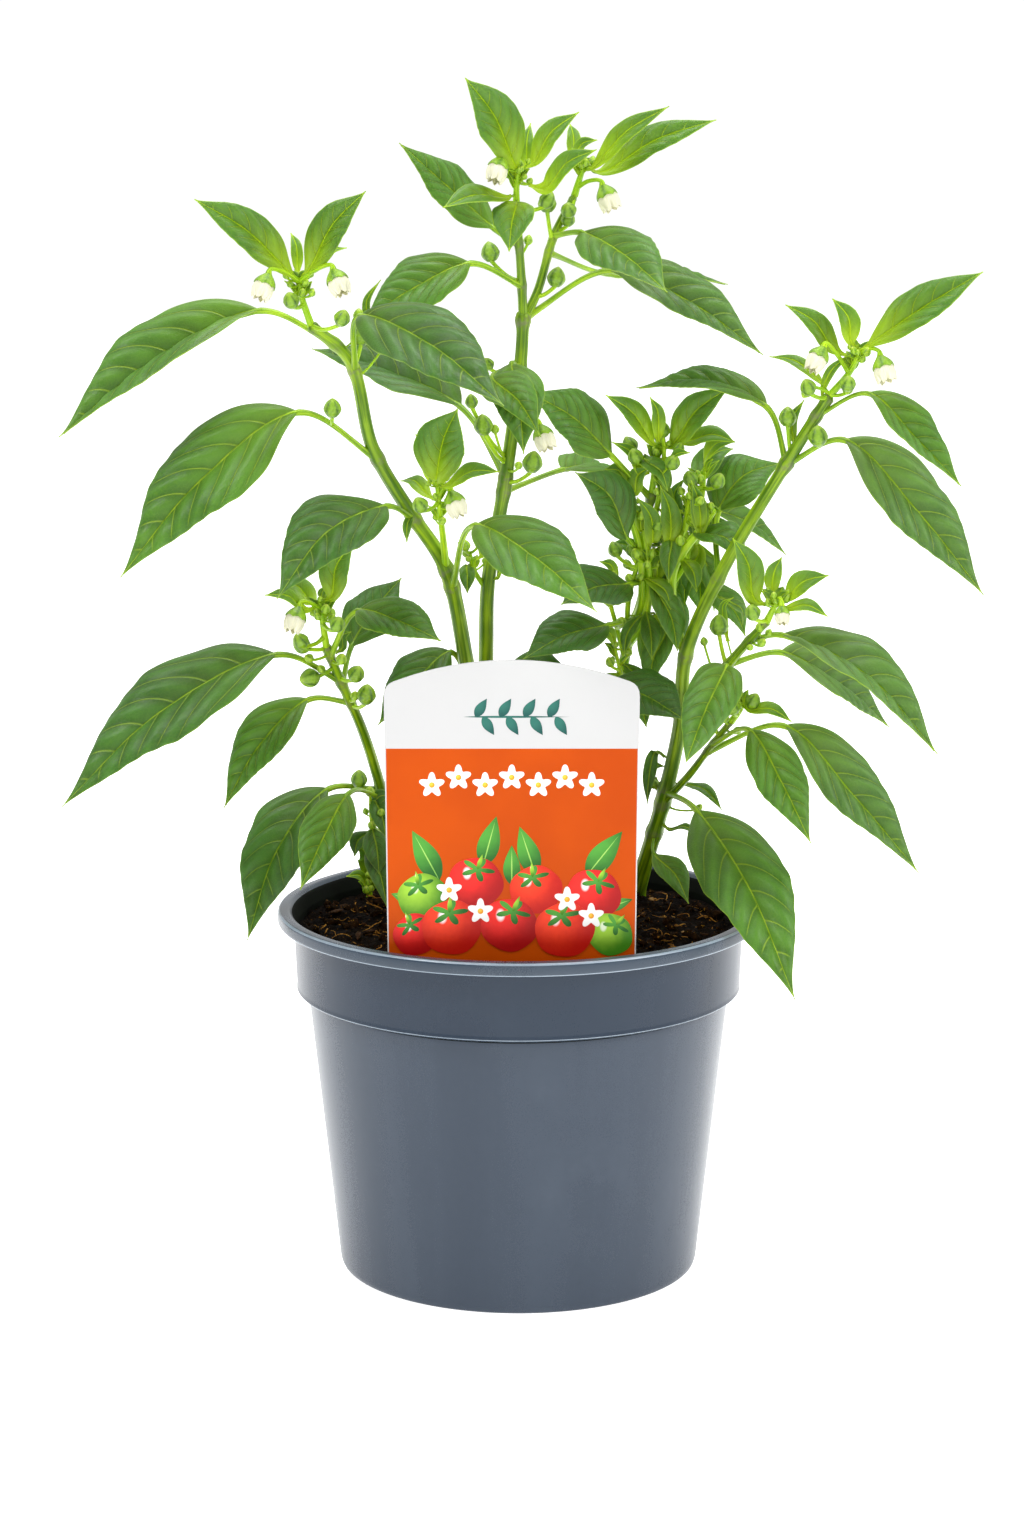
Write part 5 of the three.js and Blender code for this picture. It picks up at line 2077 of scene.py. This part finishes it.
# Stems in the order that they grow: radii at both ends, the points passed and the stem that each leaves.
STEMS = [
    Stem("stem_centre", (3.8, 2.5), [
        (-13, 27, 152), (-14, 24, 220), (-14, 18, 273), (-13, 15, 300), (-6, 9, 342), (1, 3, 397),
        (2, 0, 418)]),
    Stem("stem_centre_fork_left", (2, 1.5), [(2, 0, 415), (1, -8, 433), (0, -12, 448), (-1, -15, 462)],
        "stem_centre"),
    Stem("stem_centre_fork_right", (2, 1.5), [(2, 0, 413), (8, 3, 426), (15, 9, 449), (24, 15, 466)],
        "stem_centre"),
    Stem("stem_left", (3.6, 2.3), [
        (-14, 24, 220), (-22, 6, 263), (-31, -9, 309), (-46, -21, 335), (-61, -30, 363), (-70, -36, 400),
        (-86, -42, 415)], "stem_centre"),
    Stem("stem_right", (4.1, 2.3), [
        (53, 54, 150), (55, 45, 162), (64, 33, 198), (71, 24, 235), (73, 18, 267), (88, 0, 308),
        (114, -18, 357), (130, -27, 385)]),
    Stem("stem_right_side", (2.2, 1.6), [(71, 22, 241), (87, -6, 264), (97, -21, 279), (105, -30, 290)],
        "stem_right"),
    Stem("stem_right_low", (1.8, 1.3), [(64, 33, 198), (75, 15, 215), (84, -3, 232), (91, -15, 244)],
        "stem_right"),
    Stem("stem_inner_right", (2.8, 1.8), [
        (39, 33, 151), (42, 39, 199), (47, 39, 262), (55, 33, 294), (55, 30, 318), (58, 26, 338)]),
    Stem("stem_low_left", (3, 1.8), [
        (-57, 54, 150), (-59, 33, 193), (-61, 24, 208), (-68, 6, 237), (-77, -12, 263), (-82, -21, 278)]),
]

# Leaves on the stems: the blade's base and tip, its width, arch and tilt, then the stem and the height there.
LEAVES = {
    "leaf_far_left": Leaf((-107, -30, 420), (-189, -54, 370), 35, 6, 30,
        "stem_left", 407, fold=0.5, base_power=1.1),
    "leaf_left_high": Leaf((-91, -42, 379), (-164, -63, 313), 40, 7, 48, "stem_left", 358, GROWN),
    "leaf_left_middle": Leaf((-55, -42, 340), (-98, -90, 308), 34, 9, 45, "stem_left", 332, OLD),
    "leaf_front_high": Leaf((-65, -63, 420), (-6, -129, 390), 34, 6, 50, "stem_left", 396, OLD),
    "leaf_front_middle": Leaf((-18, -57, 334), (31, -111, 306), 32, 4, 48, "stem_left", 301, GROWN),
    "leaf_back_high": Leaf((-25, 33, 374), (-91, 60, 397), 34, 3, 25, "stem_centre", 346, OLD, fold=0.4),
    "leaf_centre_left": Leaf((-20, -21, 439), (-64, -42, 417), 30, 2, 40, "stem_centre_fork_left", 429),
    "leaf_top_left": Leaf((-10, 3, 452), (-50, -6, 488), 26, 0, 30, "stem_centre_fork_left", 446),
    "leaf_top_right_front": Leaf((26, -6, 451), (60, -66, 430), 30, 3, 40, "stem_centre_fork_right", 449),
    "leaf_top_right": Leaf((38, 12, 434), (103, -9, 400), 28, 5, 36,
        "stem_centre_fork_right", 415, SHEENED, fold=0.35),
    "leaf_top_right_back": Leaf((39, 39, 431), (92, 63, 425), 24, 3, 12, "stem_centre_fork_right", 442),
    "leaf_centre_front": Leaf((-3, -18, 397), (2, -45, 362), 22, 5, 75, "stem_centre", 392),
    "leaf_behind_label": Leaf((39, 9, 257), (71, -24, 246), 30, 2, 40, "stem_inner_right", 255, OLD),
    "leaf_behind_label_left": Leaf((-29, 4, 271), (-60, -18, 243), 26, 2, 35, "stem_left", 252, OLD),
    "leaf_behind_label_middle": Leaf((-5, 10, 262), (22, 0, 263), 16, 4, 30, "stem_centre", 246, OLD),
    "leaf_inner_upper": Leaf((40, 12, 355), (4, -3, 384), 29, 3, 40, "stem_inner_right", 335, GROWN),
    "leaf_inner_middle": Leaf((47, 12, 319), (24, -6, 350), 22, 6, 45, "stem_inner_right", 312, OLD),
    "leaf_inner_lower": Leaf((48, 15, 299), (18, -18, 295), 28, 3, 45, "stem_inner_right", 298, OLD),
    "leaf_inner_low_left": Leaf((39, 15, 281), (2, -9, 270), 26, 3, 40, "stem_inner_right", 280, OLD),
    "leaf_inner_edge": Leaf((19, 39, 346), (46, 75, 338), 24, 4, 25, "stem_centre", 340),
    "leaf_right_back": Leaf((105, -9, 378), (50, 3, 385), 28, 6, 15, "stem_right", 355, fold=0.3),
    "leaf_right_small": Leaf((145, -33, 386), (182, -57, 350), 21, 1, 30, "stem_right", 376, fold=0.5),
    "leaf_right_large": Leaf((136, -27, 366), (193, -51, 304), 33, 3, 40,
        "stem_right", 354, SHEENED, fold=0.3),
    "leaf_inner_right": Leaf((87, 27, 329), (115, 39, 349), 28, 6, 30, "stem_right", 303),
    "leaf_side_heart": Leaf((88, -27, 270), (69, -75, 238), 22, 2, 65,
        "stem_right_side", 263, GROWN, 0.5, 1.0),
    "leaf_side_large": Leaf((111, -24, 283), (174, -63, 239), 28, 9, 24,
        "stem_right_side", 280, SHEENED, fold=0.5),
    "leaf_side_under": Leaf((112, -9, 273), (162, 15, 236), 28, 3, 42,
        "stem_right_side", 268, SHEENED, fold=0.4),
    "leaf_lower_front": Leaf((98, -30, 243), (122, -63, 201), 23, 2, 45, "stem_right_low", 232, GROWN),
    "leaf_lower_right": Leaf((114, -9, 241), (170, -39, 183), 29, 2, 34,
        "stem_right_low", 228, SHEENED, fold=0.36),
    "leaf_over_rim": Leaf((77, -4, 203), (115, -80, 138), 37, 8, 50, "stem_right", 204, GROWN),
    "leaf_in_pot": Leaf((60, 26, 177), (75, 14, 157), 13, 3, 45, "stem_right", 184, GROWN),
    "leaf_low_left_large": Leaf((-102, -27, 275), (-192, -51, 214), 41, 9, 38, "stem_low_left", 261, OLD),
    "leaf_low_left_small": Leaf((-90, -6, 252), (-126, -24, 208), 25, 5, 34,
        "stem_low_left", 250, GROWN, fold=0.3),
    "leaf_low_left_drooping": Leaf((-83, 18, 208), (-117, -21, 149), 31, 10, 45,
        "stem_low_left", 206, OLD, fold=0.28),
    "leaf_low_left_bright": Leaf((-73, -18, 213), (-92, -54, 179), 22, 2, 58, "stem_low_left", 202, GROWN),
    "leaf_low_inner_back": Leaf((-72, 0, 274), (-51, 27, 300), 23, 2, 40, "stem_low_left", 259, OLD),
    "leaf_low_inner_front": Leaf((-68, -36, 295), (-32, -66, 287), 26, 2, 32, "stem_low_left", 273, GROWN),
}

# Young growth on the ends of the stems, with its leaves, buds and flowers.
SHOOTS = [
    Shoot("shoot_left", [(-86, -42, 414), (-89, -45, 426), (-90, -46, 433)], "stem_left", [
        sprig((-94, -50, 437), (-131, -63, 467), 18, BRIGHT),
        sprig((-85, -51, 439), (-62, -57, 470), 16, BRIGHT),
        sprig((-83, -45, 438), (-71, -33, 446), 5), sprig((-91, -40, 439), (-94, -33, 452), 5)],
        [Bud((-93, -54, 426)), Bud((-72, -57, 419))],
        [Bell((-104, -60, 431)), Bell((-73, -63, 433))]),
    Shoot("shoot_top_left", [(-1, -15, 461), (-1, -16, 469), (0, -18, 477)], "stem_centre_fork_left", [
        sprig((-2, -24, 480), (-22, -36, 515), 20, BRIGHT), sprig((6, -18, 480), (25, -21, 501), 10),
        sprig((11, -22, 470), (32, -34, 486), 11), sprig((3, -9, 479), (5, 0, 496), 6),
        sprig((-6, -24, 466), (-31, -48, 463), 12, BRIGHT),
        sprig((-1, -26, 463), (-4, -42, 445), 17, BRIGHT)],
        [Bud((12, -18, 465))],
        [Bell((-9, -30, 477))]),
    Shoot("shoot_top_right", [(24, 15, 465), (26, 15, 473), (28, 15, 478)], "stem_centre_fork_right", [
        sprig((31, 12, 477), (63, 0, 503), 10), sprig((35, 18, 475), (84, 21, 497), 15, BRIGHT),
        sprig((24, 9, 481), (33, 3, 489), 6), sprig((24, 21, 481), (22, 33, 495), 6)],
        [Bud((21, 3, 460))],
        [Bell((38, 9, 464), flare=0.25)]),
    Shoot("shoot_right", [(130, -27, 384), (138, -30, 395), (142, -32, 404)], "stem_right", [
        sprig((131, -30, 404), (111, -24, 422), 10, BRIGHT), sprig((138, -33, 407), (130, -30, 425), 9),
        sprig((125, -21, 391), (106, -6, 399), 6, BRIGHT),
        sprig((146, -36, 407), (190, -48, 437), 20, BRIGHT, 1, 38)],
        [Bud((136, -42, 391)), Bud((120, -36, 389))],
        [Bell((151, -42, 396), flare=0.25), Bell((123, -39, 400))]),
    Shoot("shoot_right_side", [(105, -30, 289), (107, -32, 295), (109, -33, 299)], "stem_right_side", [
        sprig((99, -36, 300), (89, -45, 327), 12, BRIGHT), sprig((107, -30, 302), (111, -24, 316), 7),
        sprig((112, -33, 299), (130, -36, 310), 10), sprig((112, -36, 296), (129, -45, 294), 7)],
        [Bud((98, -39, 295))],
        [Bell((110, -46, 294), length=8.6, radius=2.9)]),
    Shoot("shoot_right_low", [(91, -15, 243), (94, -16, 248), (96, -18, 252)], "stem_right_low", [
        sprig((98, -21, 250), (116, -27, 246), 7), sprig((95, -15, 253), (90, -6, 258), 4)],
        [Bud((91, -24, 252)), Bud((100, -21, 254))]),
    Shoot("shoot_inner_right", [(58, 26, 337), (59, 24, 348), (60, 21, 358)], "stem_inner_right", [
        sprig((57, 15, 361), (37, 3, 382), 11), sprig((66, 18, 359), (90, 6, 385), 15, BRIGHT),
        sprig((60, 12, 365), (56, 6, 381), 6), sprig((53, 18, 347), (40, 12, 361), 6),
        sprig((63, 12, 349), (73, -3, 358), 6)],
        [Bud((50, 12, 355)), Bud((66, 6, 353))]),
    Shoot("shoot_inner_back", [
        (74, 18, 267), (67, 24, 286), (67, 27, 306), (72, 27, 321), (79, 24, 335), (80, 21, 348)],
        "stem_right", [
        sprig((81, 18, 354), (93, 12, 361), 8), sprig((88, 36, 328), (119, 57, 306), 15, GROWN),
        sprig((80, 30, 324), (93, 30, 309), 12, GROWN), sprig((75, 36, 308), (72, 48, 282), 10, GROWN)],
        [Bud((74, 15, 345)), Bud((86, 15, 344))], radii=(2.4, 1.2)),
    Shoot("shoot_low_left", [(-82, -21, 277), (-83, -26, 289), (-84, -27, 298)], "stem_low_left", [
        sprig((-79, -30, 300), (-69, -33, 324), 13, BRIGHT), sprig((-88, -18, 296), (-101, 0, 301), 10),
        sprig((-90, -33, 295), (-106, -45, 303), 7)],
        [Bud((-92, -33, 282)), Bud((-76, -39, 290))],
        [Bell((-94, -39, 291))]),
    Shoot("shoot_inner_left", [(-30, -9, 308), (-32, -24, 325), (-33, -33, 337), (-34, -39, 348)],
        "stem_left", [
        sprig((-34, -45, 352), (-25, -57, 382), 22, BRIGHT), sprig((-37, -39, 351), (-43, -33, 369), 7),
        sprig((-29, -45, 349), (-8, -57, 356), 9), sprig((-38, -30, 343), (-50, -12, 347), 7)],
        [Bud((-41, -45, 341))],
        [Bell((-26, -42, 340))]),
    Shoot("sprout_low_left", [(-67, 52, 150), (-67, 51, 154), (-66, 50, 160)], "", [
        sprig((-68, 48, 157), (-77, 42, 163), 5), sprig((-65, 48, 162), (-60, 44, 171), 7),
        sprig((-68, 50, 163), (-72, 48, 176), 10, BRIGHT)]),
]

# Twigs of the inner bush. Each stands for the stem or shoot that it grows from.
TWIGS = [
    Shoot("twig_inner_front", [(54, 30, 306), (59, 24, 326), (62, 20, 344), (63, 18, 359)],
        "stem_inner_right", [
        sprig((64, 20, 330), (58, 16, 345), 6), sprig((64, 16, 340), (54, 12, 354), 7, GROWN),
        sprig((69, 24, 329), (72, 24, 344), 6, GROWN), sprig((66, 18, 318), (65, 12, 300), 9, GROWN),
        sprig((74, 16, 361), (93, 10, 361), 10, BRIGHT), sprig((54, 14, 353), (64, 10, 340), 9, GROWN),
        sprig((65, 17, 318), (61, 14, 342), 9, BRIGHT), sprig((58, 16, 317), (51, 14, 337), 8, BRIGHT)],
        [Bud((48, 20, 359), 3.2), Bud((62, 16, 366), 3.0), Bud((69, 14, 358), 2.4)],
        radii=(1.5, 0.9), crowd=7),
    Shoot("twig_inner_back", [(49, 36, 268), (48, 26, 290), (52, 24, 308), (54, 24, 322)],
        "stem_inner_right", [
        sprig((53, 34, 307), (40, 34, 314), 8, GROWN), sprig((64, 26, 297), (56, 26, 308), 7, GROWN),
        sprig((62, 34, 314), (53, 38, 324), 7, OLD), sprig((58, 26, 282), (65, 20, 269), 6, BRIGHT)],
        [Bud((42, 24, 313), 3.0), Bud((49, 22, 313), 2.4)],
        radii=(1.3, 0.9), crowd=6),
    Shoot("twig_inner_low", [(47, 38, 262), (43, 30, 278), (40, 24, 291), (41, 20, 303)],
        "stem_inner_right", [
        sprig((38, 26, 277), (30, 18, 269), 6, GROWN), sprig((42, 20, 300), (35, 14, 309), 5)],
        [Bud((45, 24, 281), 2.2), Bud((37, 20, 292), 1.8)], radii=(1.2, 0.8), crowd=5),
    Shoot("twig_branch_low", [(67, 24, 286), (61, 24, 292), (57, 22, 300), (56, 20, 308)],
        "shoot_inner_back", [
        sprig((58, 18, 298), (69, 12, 270), 13, GROWN), sprig((60, 22, 300), (64, 14, 312), 8, BRIGHT)],
        [Bud((58, 18, 312), 1.8)], radii=(1.2, 0.8), crowd=4),
    Shoot("twig_branch_high", [(72, 27, 321), (73, 20, 330), (74, 14, 338)], "shoot_inner_back", [
        sprig((78, 14, 324), (74, 8, 345), 6, BRIGHT), sprig((78, 30, 318), (69, 30, 332), 10, GROWN),
        sprig((79, 18, 321), (97, 4, 311), 19, GROWN, 4.0, 30.0),
        sprig((79, 30, 312), (73, 34, 286), 10, BRIGHT),
        sprig((80, 30, 347), (94, 40, 355), 12, GROWN), sprig((68, 22, 330), (65, 26, 308), 7, BRIGHT)],
        [Bud((78, 10, 336), 1.9)], radii=(1.3, 0.9), crowd=6),
    Shoot("twig_inner_tall", [(49, 38, 268), (55, 28, 281), (57, 22, 300), (55, 21, 318), (53, 21, 331)],
        "stem_inner_right", [
        sprig((58, 32, 293), (72, 32, 269), 15, GROWN, 4.0), sprig((56, 24, 285), (58, 14, 266), 9, GROWN),
        sprig((60, 30, 312), (67, 32, 289), 10, BRIGHT), sprig((53, 24, 283), (46, 18, 267), 6, GROWN),
        sprig((60, 26, 284), (54, 18, 262), 7, YOUNG), sprig((53, 18, 322), (47, 12, 334), 6, BRIGHT)],
        [Bud((51, 18, 312), 2.2), Bud((60, 17, 324), 2.6)], radii=(2.0, 1.2), crowd=6),
    Shoot("twig_inner_side", [(51, 36, 280), (54, 26, 290), (53, 22, 312), (49, 20, 327), (45, 19, 341)],
        "stem_inner_right", [
        sprig((50, 18, 338), (56, 12, 350), 8, BRIGHT), sprig((46, 18, 342), (37, 14, 349), 7, BRIGHT),
        sprig((57, 18, 300), (66, 14, 288), 8, BRIGHT)],
        [Bud((42, 18, 346), 2.6)], radii=(2.2, 1.5), crowd=3),
    Shoot("twig_branch_front", [(67, 24, 288), (67, 19, 304), (72, 17, 314), (79, 17, 323), (85, 20, 331)],
        "shoot_inner_back", [
        sprig((78, 15, 319), (73, 12, 343), 8, BRIGHT), sprig((70, 18, 310), (77, 12, 296), 8, BRIGHT),
        sprig((64, 20, 276), (58, 16, 253), 12, GROWN)],
        [Bud((70, 15, 318), 2.0)], radii=(2.3, 1.5), crowd=3),
    Shoot("twig_inner_foot", [(44, 38, 232), (47, 30, 245), (45, 25, 257), (42, 22, 270)],
        "stem_inner_right", [
        sprig((46, 24, 262), (54, 16, 248), 8, GROWN), sprig((44, 24, 258), (37, 18, 249), 6, BRIGHT),
        sprig((48, 28, 248), (56, 20, 235), 8, GROWN), sprig((42, 22, 270), (34, 16, 279), 6)],
        [Bud((40, 20, 264), 2.0), Bud((48, 22, 268), 1.8)], radii=(1.3, 0.8), crowd=6),
    Shoot("twig_branch_back", [(67, 25, 296), (72, 30, 304), (76, 32, 314), (78, 30, 322)],
        "shoot_inner_back", [
        sprig((75, 34, 316), (80, 36, 283), 18, BRIGHT, 2.0, 60.0),
        sprig((71, 32, 331), (67, 34, 307), 9, GROWN),
        sprig((79, 32, 310), (86, 36, 284), 10, GROWN), sprig((78, 28, 324), (88, 20, 330), 7, BRIGHT)],
        [Bud((82, 24, 325), 2.4), Bud((72, 24, 316), 1.8)], radii=(1.3, 0.8), crowd=6),
    Shoot("twig_centre_low", [(-14, 16, 296), (-19, 12, 305), (-21, 4, 314)], "stem_centre", [
        sprig((-22, 10, 308), (-22, 2, 297), 7, GROWN), sprig((-16, 8, 312), (-12, 2, 321), 4)],
        [Bud((-23, 0, 318), 2.2), Bud((-17, 0, 319), 1.8)], radii=(1.2, 0.9), crowd=5),
    Shoot("twig_low_left", [(-62, 26, 176), (-64, 22, 190), (-65, 18, 202)], "stem_low_left", [
        sprig((-64, 18, 203), (-58, 8, 188), 10, OLD), sprig((-66, 22, 187), (-72, 16, 178), 8, OLD),
        sprig((-64, 18, 189), (-61, 6, 172), 12, OLD), sprig((-65, 20, 180), (-57, -4, 159), 10, OLD),
        sprig((-64, 18, 198), (-55, 14, 206), 7, OLD)],
        [Bud((-65, 12, 208), 2.0), Bud((-60, 10, 199), 1.6)], radii=(1.4, 0.9), crowd=4),
]

# Single leaves, buds and flowers along a stem or on a leaf's stalk.
CARRIED = {
    "leaf_left_high": Growth(buds=[Bud((-77, -44, 381), 3.4, 0.7, 10.0)]),
    "leaf_right_large": Growth(buds=[Bud((125, -30, 368), 3.8, 0.7, 6.0)]),
    "leaf_low_left_drooping": Growth(buds=[Bud((-70, 20, 212), 3.4, 0.7, 4.0)]),
    "leaf_side_large": Growth(buds=[Bud((102, -28, 287), 1.8), Bud((98, -26, 278), 1.4)]),
    "stem_left": Growth(leaves=[sprig((-63, -33, 414), (-57, -34, 433), 3.5, BRIGHT),
        sprig((-45, -22, 334), (-47, -28, 323), 4, GROWN)],
        buds=[Bud((-65, -38, 411), 4.0, 0.7, 14.0), Bud((-66, -40, 419), 2.2, 0.7, 20.0),
        Bud((-43, -18, 338), 1.8), Bud((-57, -34, 405), 1.6, 0.6, 10.0)]),
    "stem_centre": Growth(leaves=[sprig((-9, 12, 302), (-2, 6, 309), 3.5),
        Leaf((-11, -27, 392), (9, -54, 370), 20, 3, 60, tone=GROWN, base_power=0.6, fold=0.3)],
        buds=[Bud((6, -2, 354), 4.0, 0.75, 12.0), Bud((-15, -4, 370), 3.8, 0.75, 18.0),
        Bud((-13, -6, 396), 2.4), Bud((-20, -4, 380), 2.6, 0.75, 26.0),
        Bud((-10, -2, 368), 1.7, 0.75, 16.0), Bud((0, -6, 353), 1.6)],
        bells=[Bell((11, -6, 364), flare=0.2)]),
    "stem_centre_fork_left": Growth(buds=[Bud((-12, -8, 443), 3.6, 0.75, 14.0), Bud((4, -8, 448), 1.8),
        Bud((-6, -14, 452), 2.0)]),
    "stem_centre_fork_right": Growth(buds=[Bud((16, 0, 432), 3.6, 0.75, 12.0),
        Bud((12, 4, 463), 3.6, 0.8, 14.0), Bud((21, 8, 456), 2.8, 0.7, 7.0)]),
    "stem_right": Growth(leaves=[sprig((116, -16, 364), (120, -18, 382), 4.5, BRIGHT),
        sprig((127, -26, 384), (138, -30, 402), 4, BRIGHT), sprig((76, 30, 207), (89, 10, 200), 6, GROWN),
        sprig((67, 30, 187), (80, 14, 187), 4, GROWN), sprig((61, 36, 221), (57, 28, 199), 6, OLD),
        sprig((60, 38, 209), (65, 33, 215), 4, GROWN), sprig((92, 6, 292), (97, 10, 282), 5, GROWN),
        sprig((84, 22, 294), (99, 22, 275), 14, GROWN)],
        buds=[Bud((113, -20, 375), 3.5, 0.8, 16.0), Bud((137, -32, 388), 2.2),
        Bud((120, -28, 386), 2.2, -0.6, -6.0), Bud((60, 34, 207), 2.0, 0.4, 3.0), Bud((80, 26, 198), 1.4),
        Bud((128, -22, 378), 1.6)]),
    "stem_right_side": Growth(leaves=[sprig((88, 0, 286), (92, -4, 296), 4)],
        buds=[Bud((86, -4, 284), 3.8, 0.75, 9.0), Bud((80, 2, 276), 1.6), Bud((103, -26, 280), 1.8),
        Bud((106, -24, 284), 1.4)]),
    "stem_right_low": Growth(buds=[Bud((94, -14, 240), 1.6), Bud((84, -8, 243), 2.4),
        Bud((88, -18, 246), 1.8)]),
    "stem_low_left": Growth(leaves=[sprig((-75, -18, 276), (-71, -22, 284), 5, GROWN)],
        buds=[Bud((-92, -26, 279), 3.4, 0.3, 9.0), Bud((-89, -24, 273), 1.8, 0.4, 5.0),
        Bud((-89, -22, 264), 3.8, 0.2, 4.0), Bud((-75, -26, 273), 2.2), Bud((-69, -22, 266), 3.4, 0.5, 7.0),
        Bud((-65, -16, 256), 3.8, 0.75, 14.0), Bud((-70, -14, 255), 1.8, 0.7, 8.0),
        Bud((-84, -22, 268), 1.7)]),
}


def main() -> None:
    """Builds the potted plant and its studio in order."""
    logging.basicConfig(level=logging.INFO, format="%(message)s")
    pot = Pot()
    pot.build()
    SoilBed(pot).build()
    PictureLabel().build()
    Plant(STEMS, LEAVES, SHOOTS, TWIGS, CARRIED).build()
    Studio().build()


if __name__ == "__main__":
    main()
